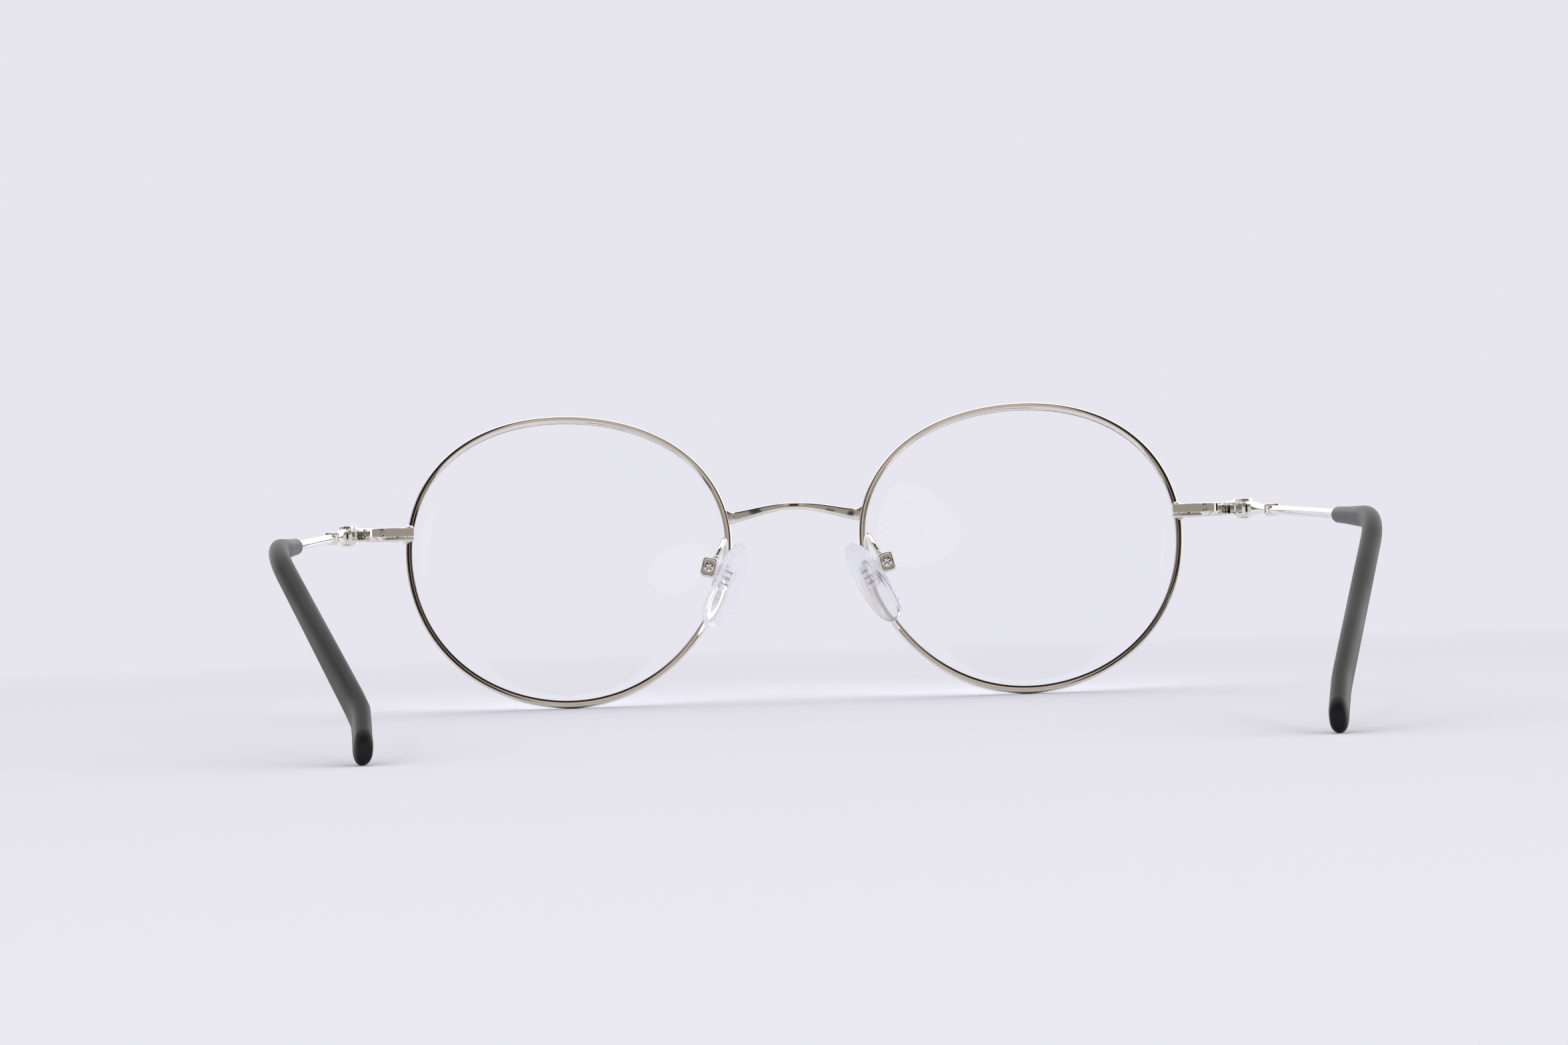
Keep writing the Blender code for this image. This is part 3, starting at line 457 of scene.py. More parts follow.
def makePadCore(name, look):
    material, tree, shader = newMaterial(name)
    wear = addWear(tree, look["wave"], 900.0, 500.0)
    share = spread(tree, wear.outputs["Waves"], 0.4, 0.65, 0.0, 1.0)
    tree.links.new(blendColour(tree, share, look["pale"], look["grey"]), shader.inputs["Base Color"])
    tree.links.new(spread(tree, wear.outputs["Smudge"], 0.3, 0.7, 0.18, 0.35), shader.inputs["Roughness"])
    shader.inputs["Metallic"].default_value = 0.35
    addBump(tree, shader, wear.outputs["Waves"], 0.2, 0.02)
    return material


metal = makeMetal("polishedPlate", polishedMetal)
solder = makeMetal("solderGrain", solderMetal)
tipBlack = makeTipPlastic("tipBlack", tipPlastic)
lensClear = makeClear("lensClear", lensPlastic)
siliconeClear = makeClear("siliconeClear", padSilicone)
coreClear = makeClear("coreClear", padFrame)
coreGrey = makePadCore("coreGrey", padCore)
print("materials made")


rimDesign = {
    "lobes": ((3, -0.007, 0.021), (4, -0.005, -0.0044), (5, -0.002, 0.0)),
    "halfWidth": 24.6, "halfHeight": 22.46, "radial": 1.0, "stations": 288, "gap": 0.3,
    # wire section: (across, along the lens axis, corner radius), rear face at +0.95
    "section": ((0.5, 0.95, 0.30), (-0.17, 0.95, 0.05), (-0.5, 0.845, 0.05), (-0.5, 0.5, 0.05),
                (-0.14, 0.0, 0.06), (-0.5, -0.5, 0.05), (-0.5, -0.95, 0.2), (0.5, -0.95, 0.3)),
}


def outlinePoint(angle, inset):
    reach = 1.0
    for lobes, cosine, sine in rimDesign["lobes"]:
        reach += cosine * math.cos(lobes * angle) + sine * math.sin(lobes * angle)
    return ((rimDesign["halfWidth"] - inset) * reach * math.cos(angle),
            (rimDesign["halfHeight"] - inset) * reach * math.sin(angle))


def lensTurn(label):
    # the lens plane's tilt and wrap, read from the seat that a clip-on lens rests on
    seat = next(m for m in record["mounts"] if m["name"] == label + "_clip_on_seat")
    out = -Vector(seat["axis"])
    across = Vector((0, 0, 1)).cross(out).normalized()
    across = -across if across.x < 0 else across
    up = out.cross(across).normalized()
    return Matrix((across, up, out)).transposed()


def rimAngle(label):
    # where the rim is split, level with the endpiece
    low, high = boxOf(label + "_rim")
    endLow, endHigh = boxOf(label + "_endpiece")
    rise = (endLow.z + endHigh.z) / 2 - (low.z + high.z) / 2
    return math.asin(rise / rimDesign["halfHeight"])


def makeRim(label, side):
    turn = lensTurn(label)
    section = roundedOutline(rimDesign["section"], 6)
    opening = rimDesign["gap"] / 2 / rimDesign["halfWidth"]
    start = rimAngle(label) + opening
    sweep = math.tau - 2 * opening
    inset = rimDesign["radial"] / 2
    rings = []
    for step in range(rimDesign["stations"] + 1):
        angle = start + sweep * step / rimDesign["stations"]
        x, y = outlinePoint(angle, inset)
        nextX, nextY = outlinePoint(angle + 0.001, inset)
        outwards = Vector((nextY - y, x - nextX)).normalized()
        ring = []
        for u, v in section:
            ring.append(turn @ Vector((side * (x + outwards.x * u), y + outwards.y * u, v)))
        rings.append(ring)
    rim = loft(label + "_rim_wire", fitRings(rings, label + "_rim"), sharpAngle=50)
    settle(rim, metal, label + "_rim")


lensDesign = {"edge": 1.04, "sag": 2.0, "half": 0.75, "bevelHalf": 0.35, "bevelReach": 0.26, "around": 192,
              "rings": (0.001, 0.1, 0.2, 0.3, 0.4, 0.5, 0.6, 0.7, 0.8, 0.9, 0.96, 0.98, 0.99, 1.0)}


def makeLens(label, side):
    turn = lensTurn(label)
    d = lensDesign

    def ring(scale, depth, inset):
        points = []
        for step in range(d["around"]):
            x, y = outlinePoint(math.tau * step / d["around"], inset)
            points.append(turn @ Vector((side * x * scale, y * scale, depth)))
        return points

    def sag(scale):
        return -d["sag"] * (1 - scale * scale)

    tip = d["edge"] - d["bevelReach"]
    def half(scale):
        # the rear and front faces are eased down to the bevel, so that no square edge shows
        return (d["bevelHalf"] + 0.03
                + (d["half"] - d["bevelHalf"] - 0.03) * math.sqrt(1 - smoothStep(0.95, 1, scale)))

    front = [ring(s, sag(s) - half(s), d["edge"]) for s in d["rings"]]
    bevel = [ring(1, -d["bevelHalf"], d["edge"]), ring(1, 0, tip), ring(1, d["bevelHalf"], d["edge"])]
    rear = [ring(s, sag(s) + half(s), d["edge"]) for s in reversed(d["rings"])]
    lens = loft(label + "_clear_lens", fitRings(front + bevel + rear, label + "_lens"), sharpAngle=35)
    settle(lens, lensClear, label + "_lens")


bridgeDesign = {"rise": 1.62, "forward": 1.6, "power": 1.3, "endHalf": 0.88, "middleHalf": 0.54,
                "halfDepth": 0.9, "corner": 0.2, "crown": 0.03, "steps": 96, "flareHeight": 0.42}


def makeBridge():
    d = bridgeDesign
    low, high = boxOf("bridge")
    reach = (high.x - low.x) / 2
    rings = []
    for step in range(d["steps"] + 1):
        x = reach * (2 * step / d["steps"] - 1)
        wave = max(math.cos(math.pi / 2 * x / reach), 0.0) ** d["power"]
        half = mix(d["endHalf"], d["middleHalf"], wave)
        middle = Vector((x, d["forward"] * (1 - (x / reach) ** 2), d["rise"] * wave))
        # the face towards the wearer is very slightly crowned
        depth, crownRadius = d["halfDepth"], 0.6 * half * half / d["crown"]
        section = roundedOutline([(depth, half, d["corner"]), (-depth, half, d["corner"]),
                                  (-depth - d["crown"], 0, crownRadius), (-depth, -half, d["corner"]),
                                  (depth, -half, d["corner"])], 6)
        rings.append([middle + Vector((0, u, v)) for u, v in section])
    bridge = loft("bridge_bar", fitRings(rings, "bridge"), sharpAngle=50)
    settle(bridge, metal, "bridge")
    for label, side in sides.items():
        makeBridgeFillet(label, side, low, high)


def makeBridgeFillet(label, side, low, high):
    # the solder that flows from the bar's end on to the rim
    d = bridgeDesign
    end = Vector((side * high.x, low.y + d["halfDepth"], low.z + d["endHalf"]))
    rings = []
    for step in range(13):
        share = step / 12
        grow = share ** 2.5
        half = d["endHalf"] - 0.02 + d["flareHeight"] * grow
        depth = d["halfDepth"] - 0.04 - 0.1 * grow
        x = end.x + side * (-0.55 + 1.15 * share)
        section = roundedRectangle(depth, half, 0.24, 5)
        rings.append([Vector((x, end.y + u, end.z + v)) for u, v in section])
    fillet = loft(label + "_bridge_solder", rings, sharpAngle=50)
    settle(fillet, solder, "bridge", standsFor=False)


endpieceDesign = {"turnRadius": 4.6, "turnX": 61.2, "corner": 0.2, "turnSteps": 36}


def makeEndpiece(label, side):
    d = endpieceDesign
    low, high = boxOf(label + "_endpiece")
    height = high.z - low.z
    thickness = 0.95
    inner = low.x if side > 0 else -high.x
    outer = high.x if side > 0 else -low.x
    frontY = high.y - thickness / 2
    centre = Vector((d["turnX"], frontY - d["turnRadius"]))
    route = [Vector((inner, frontY)), Vector((inner + 1.2, frontY))]
    for step in range(d["turnSteps"] + 1):
        angle = math.pi / 2 * (1 - step / d["turnSteps"])
        route.append(centre + d["turnRadius"] * Vector((math.cos(angle), math.sin(angle))))
    end = Vector((outer - thickness / 2, low.y))
    corner = route[-1]
    route += [corner.lerp(end, share) for share in (0.25, 0.5, 0.75, 1.0)]
    section = roundedRectangle(thickness / 2, height / 2, d["corner"], 6)
    rings = []
    for index, point in enumerate(route):
        way = (route[min(index + 1, len(route) - 1)] - route[max(index - 1, 0)]).normalized()
        out = Vector((-way.y, way.x)) * -1
        rings.append([Vector((side * (point.x + out.x * u), point.y + out.y * u, (low.z + high.z) / 2 + v))
                      for u, v in section])
    strip = loft(label + "_endpiece_strip", fitRings(rings, label + "_endpiece"), sharpAngle=50)
    settle(strip, metal, label + "_endpiece")


blockDesign = {"edge": {"rim_lock_upper": 0.07, "rim_lock_lower": 0.2}, "overRim": 1.5}


def makeBlock(label, side):
    # each half reaches in over the rim's cut end, where it is soldered on
    for half in ("rim_lock_upper", "rim_lock_lower"):
        node = label + "_" + half
        low, high = boxOf(node)
        reach = blockDesign["overRim"]
        inner = low.x - reach if side > 0 else low.x
        outer = high.x if side > 0 else high.x + reach
        size = (outer - inner, high.y - low.y, high.z - low.z)
        block = boxPiece(label + "_" + half + "_block", size, blockDesign["edge"][half])
        put(block, Vector(((inner + outer) / 2, (low.y + high.y) / 2, (low.z + high.z) / 2)))
        if half == "rim_lock_lower":
            screwLow, screwHigh = boxOf(label + "_rim_lock_screw")
            sink = barrel(block.name + "_sink", (screwHigh.x - screwLow.x) / 2 + 0.08, 0.6, 0.01)
            put(sink, Vector(((screwLow.x + screwHigh.x) / 2, (screwLow.y + screwHigh.y) / 2, low.z)))
            cutAndJoin(block, [(sink, "DIFFERENCE")])
        bakeMesh(block)
        settle(block, metal, node)
    makeBeads(label, side)
    makeLockScrew(label)


def makeBead(name, middle, size, seed):
    # a blob of solder: a ball drawn out, settled and slightly lumpy
    shape = bmesh.new()
    bmesh.ops.create_icosphere(shape, subdivisions=4, radius=1.0)
    for vert in shape.verts:
        lump = 1 + 0.10 * noise.noise(vert.co * 1.7 + Vector((seed, 0, 0)))
        vert.co = Vector((vert.co.x * size[0], vert.co.y * size[1], vert.co.z * size[2])) * lump
    bead = finishMesh(name, shape, 80)
    bead.data.transform(Matrix.Translation(Vector(middle) * mm))
    return bead


def makeBeads(label, side):
    upLow, upHigh = boxOf(label + "_rim_lock_upper")
    downLow, _ = boxOf(label + "_rim_lock_lower")
    inner = upLow.x if side > 0 else -upHigh.x
    rearY = upLow.y
    spots = (
        ("upper", (inner - 0.75, rearY + 0.95, upHigh.z + 0.12), (0.62, 0.8, 0.34)),
        ("lower", (inner - 0.35, rearY + 0.95, downLow.z - 0.12), (0.62, 0.8, 0.34)),
    )
    for name, (x, y, z), size in spots:
        bead = makeBead(label + "_" + name + "_bead", (side * x, y, z), size, side + len(name))
        settle(bead, solder, label + "_rim", standsFor=False)
    # grains of solder left on the top edge of the block
    for index in range(7):
        x = side * (inner + 0.6 + 0.33 * index)
        lift = 0.03 * math.sin(index * 2.3)
        grain = makeBead(f"{label}_solder_grain_{index}", (x, rearY + 0.35, upHigh.z + lift),
                         (0.2, 0.24, 0.13 + 0.03 * (index % 3)), index)
        settle(grain, solder, label + "_rim", standsFor=False)


def screwHead(name, radius, height, shankRadius, shankLength, dome=0.1, slots=1, slotWidth=0.24):
    edge = 0.06
    profile = [(0.001, height + dome), (radius * 0.35, height + dome * 0.9),
               (radius * 0.7, height + dome * 0.5),
               (radius - edge, height), (radius - edge * 0.3, height - edge * 0.3), (radius, height - edge),
               (radius, 0.02), (radius - 0.02, 0), (shankRadius, 0), (shankRadius, -shankLength),
               (0.001, -shankLength)]
    screw = turnedPiece(name, profile)
    tools = []
    for index in range(slots):
        cutter = boxPiece(f"{name}_slot_{index}", (2 * radius * (1.5 if slots == 1 else 0.75), slotWidth,
                                                   height * 1.3), 0)
        put(cutter, (0, 0, height + dome), Matrix.Rotation(math.pi / 2 * index + math.pi / 4 * (slots - 1),
                                                           3, "Z"))
        tools.append((cutter, "DIFFERENCE"))
    return cutAndJoin(screw, tools, edge=0.025)


def makeLockScrew(label):
    node = label + "_rim_lock_screw"
    low, high = boxOf(node)
    radius = (high.x - low.x) / 2
    screw = screwHead(node + "_fine", radius, 0.24, 0.38, (high.z - low.z) - 0.36, dome=0.03)
    middle = Vector(((low.x + high.x) / 2, (low.y + high.y) / 2, low.z + 0.27))
    put(screw, middle, Matrix.Rotation(math.pi, 3, "X"))
    bakeMesh(screw)
    settle(screw, metal, node)


hingeDesign = {"radius": 1.2, "height": 0.82, "gap": 0.1, "pin": 0.55, "clearance": 0.07, "leaf": 0.55,
               "leafLength": 4.2, "frontGap": 0.25, "frontAhead": 1.35, "templeGap": 0.1,
               "templeBehind": 1.75,
               "arm": 2.1, "barHalf": 0.55, "stripThickness": 0.95, "edge": 0.07}


def hingeFrame(label, side):
    # local Z up the pin, local -Y along the temple
    pin, axis = jointPlace(label + "_temple_fold")
    up = axis if axis.z > 0 else -axis
    _, _, at = templeRoute(label, side)
    way = at(1.0)[0] - at(0.0)[0]
    forward = -(way - up * way.dot(up)).normalized()
    return pin, Matrix((forward.cross(up), forward, up)).transposed()


def barrel(name, radius, height, edge=0.09):
    profile = [(0.001, height / 2), (radius - edge, height / 2),
               (radius - edge * 0.3, height / 2 - edge * 0.3),
               (radius, height / 2 - edge), (radius, edge - height / 2),
               (radius - edge * 0.3, edge * 0.3 - height / 2),
               (radius - edge, -height / 2), (0.001, -height / 2)]
    return turnedPiece(name, profile)


def makeHingeHalf(label, side, kind):
    d = hingeDesign
    pin, turn = hingeFrame(label, side)
    ahead = 1 if kind == "front" else -1
    levels = (-1, 1) if kind == "front" else (0,)
    backing = d["stripThickness"] / 2 + d["frontGap"] if kind == "front" else d["barHalf"] + d["templeGap"]
    start = d["frontAhead"] if kind == "front" else d["templeBehind"]
    inner = -side * (backing + d["leaf"] / 2)
    height = 2 * d["height"] + (d["gap"] if kind == "front" else 0)
    node = f"{label}_{kind}_hinge"
    leaf = boxPiece(node + "_fine", (d["leaf"], d["leafLength"], height), 0.1)
    put(leaf, pin + turn @ Vector((inner, ahead * (d["leafLength"] / 2 + start), 0)), turn)
    tools = []
    for level in levels:
        lift = level * (d["height"] + d["gap"])
        arm = boxPiece(f"{node}_arm_{level}", (d["leaf"], d["arm"], d["height"]), 0.06)
        tools.append((put(arm, pin + turn @ Vector((inner, ahead * d["arm"] / 2, lift)), turn), "UNION"))
        ring = barrel(f"{node}_knuckle_{level}", d["radius"], d["height"])
        tools.append((put(ring, pin + turn @ Vector((0, 0, lift)), turn), "UNION"))
    bore = barrel(node + "_bore", d["pin"] + d["clearance"], 4.0, 0.01)
    tools.append((put(bore, pin, turn), "DIFFERENCE"))
    cutAndJoin(leaf, tools)
    settle(leaf, metal, node)


def makeHingeScrew(label, side):
    d = hingeDesign
    pin, turn = hingeFrame(label, side)
    node = label + "_hinge_screw"
    top = 1.5 * d["height"] + d["gap"] + 0.08
    screw = screwHead(node + "_fine", 0.95, 0.17, d["pin"], 3 * (d["height"] + d["gap"]), dome=0.04)
    put(screw, pin - turn @ Vector((0, 0, top)), turn @ Matrix.Rotation(math.pi, 3, "X"))
    bakeMesh(screw)
    settle(screw, metal, node)


templeDesign = {
    # millimetres from the hinge pin, on the right side
    "bend": {"left": (-5.1, -98.5, -4.85), "right": (-4.8, -98.5, -4.85)},
    "tip": {"left": (-21.0, -139.5, -25.5), "right": (-19.6, -139.5, -25.5)},
    "flare": {"left": 1.4, "right": 0.4}, "flareLength": 9.0, "bendRadius": 26.0,
    "barStart": 1.75, "barEnd": 20.5, "barHalf": (0.55, 1.0), "wire": 0.62, "core": 0.52,
    "collarStart": 24.7, "collarLength": 1.6, "collarHalf": 0.86,
    "sleeveStart": 76.5, "frontHalf": (0.95, 0.98), "middleHalf": (1.1, 1.3), "backHalf": (0.95, 1.85),
    "nose": 1.9,
}


def templeRoute(label, side):
    d = templeDesign
    pin, _ = jointPlace(label + "_temple_fold")
    bend = pin + Vector((side * d["bend"][label][0], *d["bend"][label][1:]))
    tip = pin + Vector((side * d["tip"][label][0], *d["tip"][label][1:]))
    before, after = (bend - pin).normalized(), (tip - bend).normalized()
    turn = before.angle(after)
    tangent = d["bendRadius"] * math.tan(turn / 2)
    centre = bend + (after - before).normalized() * (d["bendRadius"] / math.cos(turn / 2))
    arcStart = bend - before * tangent
    axis = before.cross(after).normalized()
    straight = (arcStart - pin).length
    arc = d["bendRadius"] * turn
    last = (tip - bend).length - tangent

    def at(distance):
        if distance <= straight:
            return pin + before * distance, before
        if distance <= straight + arc:
            turned = Matrix.Rotation((distance - straight) / d["bendRadius"], 3, axis)
            return centre + turned @ (arcStart - centre), turned @ before
        beyond = distance - straight - arc
        flare = d["flare"][label] * smoothStep(last - d["flareLength"], last, beyond)
        return bend + after * (tangent + beyond) + Vector((side * flare, 0, 0)), after

    return straight, (arc, straight + arc + last), at


def crossRing(at, distance, section):
    middle, way = at(distance)
    sideways = way.cross(Vector((0, 0, 1))).normalized()
    up = sideways.cross(way).normalized()
    return [middle + sideways * x + up * y for x, y in section]


def makeTempleBar(label, side):
    d = templeDesign
    straight, (arc, total), at = templeRoute(label, side)
    rings = []
    for step in range(41):
        distance = mix(d["barStart"], d["barEnd"], step / 40)
        share = smoothStep(d["barStart"] + 4, d["barEnd"], distance)
        halfU, halfV = mix(d["barHalf"][0], d["wire"], share), mix(d["barHalf"][1], d["wire"], share)
        end = 0.93 if step == 0 else 1.0
        rings.append(crossRing(at, distance, ovalSection(halfU * end, halfV * end, mix(3.4, 2.0, share), 32)))
    wire = ovalSection(d["wire"], d["wire"], 2.0, 32)
    for distance in (30.0, 45.0, 60.0, d["sleeveStart"] - 1.2, d["sleeveStart"] + 1.5):
        rings.append(crossRing(at, distance, wire))
    core = ovalSection(d["core"], d["core"], 2.0, 32)
    for distance in [d["sleeveStart"] + 3] + [straight + arc * k / 16 for k in range(17)] + [total - 9.0]:
        rings.append(crossRing(at, distance, core))
    bar = loft(label + "_temple_wire", rings, sharpAngle=50)
    settle(bar, metal, label + "_temple_bar")


def makeCollar(label, side):
    d = templeDesign
    _, _, at = templeRoute(label, side)
    half = d["collarHalf"]
    outer = roundedRectangle(half, half, 0.16, 5)
    angles = [math.atan2(v, u) for u, v in outer]
    bore = [Vector((math.cos(a), math.sin(a))) * (d["wire"] + 0.06) for a in angles]
    start, end = d["collarStart"], d["collarStart"] + d["collarLength"]
    edge = 0.14
    small = [point * (1 - edge / half) for point in outer]
    stations = ((start + edge, outer), (end - edge, outer), (end - 0.04, [p * 0.95 for p in outer]),
                (end, small),
                (end, bore), (start, bore), (start, small), (start + 0.04, [p * 0.95 for p in outer]))
    rings = [crossRing(at, distance, section) for distance, section in stations]
    collar = loft(label + "_temple_collar_fine", rings, loop=True, sharpAngle=40)
    settle(collar, metal, label + "_temple_collar")


def makeSleeve(label, side):
    d = templeDesign
    straight, (arc, total), at = templeRoute(label, side)
    distances = [d["sleeveStart"] + v for v in (0, 0.04, 0.12, 0.3, 1.5, 3.5, 6.0)]
    distances += [straight + arc * k / 28 for k in range(29)]
    tail = total - d["nose"]
    distances += [mix(straight + arc, tail, k / 14) for k in range(1, 15)]
    rings = []
    for index, distance in enumerate(distances):
        share = smoothStep(d["sleeveStart"], straight + arc / 2, distance)
        half = [mix(a, b, share) for a, b in zip(d["frontHalf"], d["middleHalf"])]
        share = smoothStep(straight + arc / 2, tail, distance)
        half = [mix(a, b, share) for a, b in zip(half, d["backHalf"])]
        lip = (0.16, 0.07, 0.02)[index] if index < 3 else 0
        power = mix(2.1, 2.4, share)
        rings.append(crossRing(at, distance, ovalSection(half[0] - lip, half[1] - lip, power, 48)))
    for step in range(1, 17):
        share = math.sin(math.pi / 2 * step / 16)
        scale = max(1 - share ** 2.6, 0.0) ** (1 / 2.6)
        halfU = d["backHalf"][0] * mix(0.45, 1.0, scale) if step < 16 else d["backHalf"][0] * 0.3
        rings.append(crossRing(at, tail + d["nose"] * share,
                               ovalSection(halfU, d["backHalf"][1] * max(scale, 0.12), 2.4, 48)))
    sleeve = loft(label + "_tip_sleeve_fine", fitRings(rings, label + "_tip_sleeve"), sharpAngle=60)
    settle(sleeve, tipBlack, label + "_tip_sleeve")


padDesign = {
    "lean": {"left": 26.0, "right": 31.0}, "splay": 31.0, "length": 13.6, "width": 7.6, "thickness": 2.4,
    "taper": 0.12, "toPad": 3.35, "below": 1.4,
    "boxLean": 14.0, "box": (2.3, 2.3, 3.0), "boxRadius": 0.62, "boxEdge": 0.27, "slot": 1.05,
    "backWall": 0.4,
    "recess": (1.72, 2.3), "recessDepth": 0.36, "headRadius": 0.74, "headHeight": 0.22,
    "insert": (0.5, 2.6, 3.6), "behind": 0.35, "above": 1.0, "bars": 3, "window": (1.5, 2.3),
    "windowAcross": -0.35,
    "tab": (3.07, 0.75, 1.6), "tabTurn": 10.0, "tabOut": 1.085, "tabHole": 0.45,
}


def padPlaces(label, side):
    d = padDesign
    pivot, _ = jointPlace(label + "_pad_rock")
    lean = math.radians(d["lean"][label])
    rock = Matrix.Rotation(-side * lean, 3, "Y")
    splay = Matrix.Rotation(side * math.radians(d["splay"]), 3, "Z")
    face = Matrix.Rotation(math.pi if side > 0 else 0, 3, "Z")
    centre = pivot + rock @ Vector((-side * d["toPad"], 0, -d["below"]))
    return pivot, centre, rock @ splay @ face, lean


def makeNosePad(label, side):
    # a clear drop shape: fuller on the nose side, flatter behind, with a moulded step round its edge
    d = padDesign
    _, centre, turn, _ = padPlaces(label, side)
    around, along = 96, 60
    rings = []
    for row in range(1, along):
        polar = math.pi * row / along
        z = math.cos(polar)
        reach = (1 - abs(z) ** 2.7) ** (1 / 2.4)
        ring = []
        for step in range(around):
            angle = math.tau * step / around
            c, s = math.cos(angle), math.sin(angle)
            x = math.copysign(abs(c) ** 0.86, c) * reach
            y = math.copysign(abs(s) ** 0.9, s) * reach
            width = d["width"] / 2 * (1 - d["taper"] * z)
            thick = d["thickness"] / 2 * (1.0 if x > 0 else 0.86)
            # the parting lip runs round the widest line
            lip = 1 + 0.05 * math.exp(-((c / 0.16) ** 2)) - 0.035 * math.exp(-(((abs(c) - 0.42) / 0.1) ** 2))
            point = Vector((x * thick, y * width * lip, z * d["length"] / 2 * (1 + 0.01 * lip)))
            ring.append(centre + turn @ point)
        rings.append(ring)
    pad = loft(label + "_silicone_pad", fitRings(rings, label + "_nose_pad"), sharpAngle=70)
    settle(pad, siliconeClear, label + "_nose_pad")


def makePadInsert(label, side):
    # a clear frame moulded into the pad, with the tab that the box grips and a little window of grey bars
    d = padDesign
    pivot, centre, turn, lean = padPlaces(label, side)
    node = label + "_pad_insert"
    thick = d["insert"][0]
    rail, window = 0.42, d["window"]
    middle = centre + turn @ Vector((-d["behind"], 0, d["above"]))
    plate = boxPiece(node + "_fine", d["insert"], 0.14)
    put(plate, middle, turn)
    opening = boxPiece(node + "_opening", (thick * 3, window[0], window[1]), 0.0)
    tabTurn = Matrix.Rotation(-side * (lean - math.radians(d["tabTurn"])), 3, "Y")
    tab = boxPiece(node + "_tab", d["tab"], 0.1)
    hole = barrel(node + "_hole", d["tabHole"], 4.0, 0.01)
    cutAndJoin(plate, [
        (put(opening, middle + turn @ Vector((0, d["windowAcross"], 0)), turn), "DIFFERENCE"),
        (put(tab, pivot + tabTurn @ Vector((-side * d["tabOut"], 0, 0)), tabTurn), "UNION"),
        (put(hole, pivot, Matrix.Rotation(math.pi / 2, 3, "X")), "DIFFERENCE"),
    ])
    settle(plate, coreClear, node)
    for bar in range(d["bars"]):
        z = (window[1] - rail) * (bar / (d["bars"] - 1) - 0.5)
        rung = boxPiece(f"{node}_bar_{bar}", (thick * 0.8, window[0] + 0.1, 0.3), 0.07)
        put(rung, middle + turn @ Vector((0, d["windowAcross"], z)), turn)
        bakeMesh(rung)
        settle(rung, coreGrey, node, standsFor=False)


def makePadBox(label, side):
    d = padDesign
    pivot, _, _, _ = padPlaces(label, side)
    node = label + "_pad_box"
    lean = Matrix.Rotation(-side * math.radians(d["boxLean"]), 3, "Y")
    box = cushionPiece(node + "_fine", d["box"], d["boxRadius"], d["boxEdge"])
    put(box, pivot, lean)
    slot = boxPiece(node + "_slot", (d["box"][0], d["slot"], d["box"][2] + 1), 0.05)
    recess = cushionPiece(node + "_recess", (d["recess"][0], 2 * d["recessDepth"], d["recess"][1]), 0.45,
                          0.08)
    hole = barrel(node + "_hole", 0.45, 5.0, 0.01)
    tools = [
        (put(slot, pivot + lean @ Vector((-side * d["backWall"], 0, 0)), lean), "DIFFERENCE"),
        (put(recess, pivot + lean @ Vector((0, -d["box"][1] / 2, 0)), lean), "DIFFERENCE"),
        (put(hole, pivot, Matrix.Rotation(math.pi / 2, 3, "X")), "DIFFERENCE"),
    ]
    cutAndJoin(box, tools, edge=0.05)
    settle(box, metal, node)


def makePadScrew(label, side):
    d = padDesign
    pivot, _, _, _ = padPlaces(label, side)
    node = label + "_pad_screw"
    screw = screwHead(node + "_fine", d["headRadius"], d["headHeight"], 0.38, 1.95, dome=0.09, slots=2,
                      slotWidth=0.24)
    put(screw, pivot - Vector((0, d["box"][1] / 2 - d["recessDepth"] + 0.02, 0)),
        Matrix.Rotation(math.pi / 2, 3, "X"))
    bakeMesh(screw)
    settle(screw, metal, node)


armDesign = {
    # millimetres from the pad's pivot, on the right side
    "route": ((-2.4, 7.25, 0.85), (-2.5, 7.0, 1.95), (-2.55, 6.2, 3.05), (-2.5, 5.0, 3.75),
              (-2.35, 3.5, 4.05),
              (-2.2, 2.0, 3.75), (-1.85, 0.7, 2.85), (-1.25, 0.1, 1.75)),
    "radius": 0.42,
}


def makePadArm(label, side):
    d = armDesign
    pivot, _ = jointPlace(label + "_pad_rock")
    knots = [pivot + Vector((side * x, y, z)) for x, y, z in d["route"]]
    route = smoothRoute(knots, 8)
    count = len(route)
    radii = []
    for index in range(count):
        share = index / (count - 1)
        foot = 0.12 * math.exp(-((share / 0.05) ** 2))
        radii.append(d["radius"] * (1 + foot) * (0.94 if index in (0, count - 1) else 1))
    arm = loft(label + "_pad_arm_wire", tubeRings(route, radii), sharpAngle=50)
    settle(arm, metal, label + "_pad_arm")
    beads = (("foot", knots[0] + Vector((side * -0.1, 0.15, -0.1)), (0.55, 0.6, 0.7)),
             ("joint", knots[-1] + Vector((side * 0.1, -0.1, -0.28)), (0.52, 0.5, 0.36)))
    for name, middle, size in beads:
        bead = makeBead(f"{label}_arm_{name}_bead", middle, size, side * 3 + len(name))
        settle(bead, solder, label + "_pad_arm", standsFor=False)


makeBridge()
print("bridge made")
for label, side in sides.items():
    makeRim(label, side)
    makeLens(label, side)
    makeEndpiece(label, side)
    makeBlock(label, side)
    makeHingeHalf(label, side, "front")
    makeHingeHalf(label, side, "temple")
    makeHingeScrew(label, side)
    makeTempleBar(label, side)
    makeCollar(label, side)
    makeSleeve(label, side)
    makeNosePad(label, side)
    makePadInsert(label, side)
    makePadBox(label, side)
    makePadScrew(label, side)
    makePadArm(label, side)
    print(label, "side made")


cameraDesign = {"place": (-12.83, -338.53, 13.06), "yaw": 1.556, "pitch": -1.922, "roll": 1.826, "lens": 62.8}


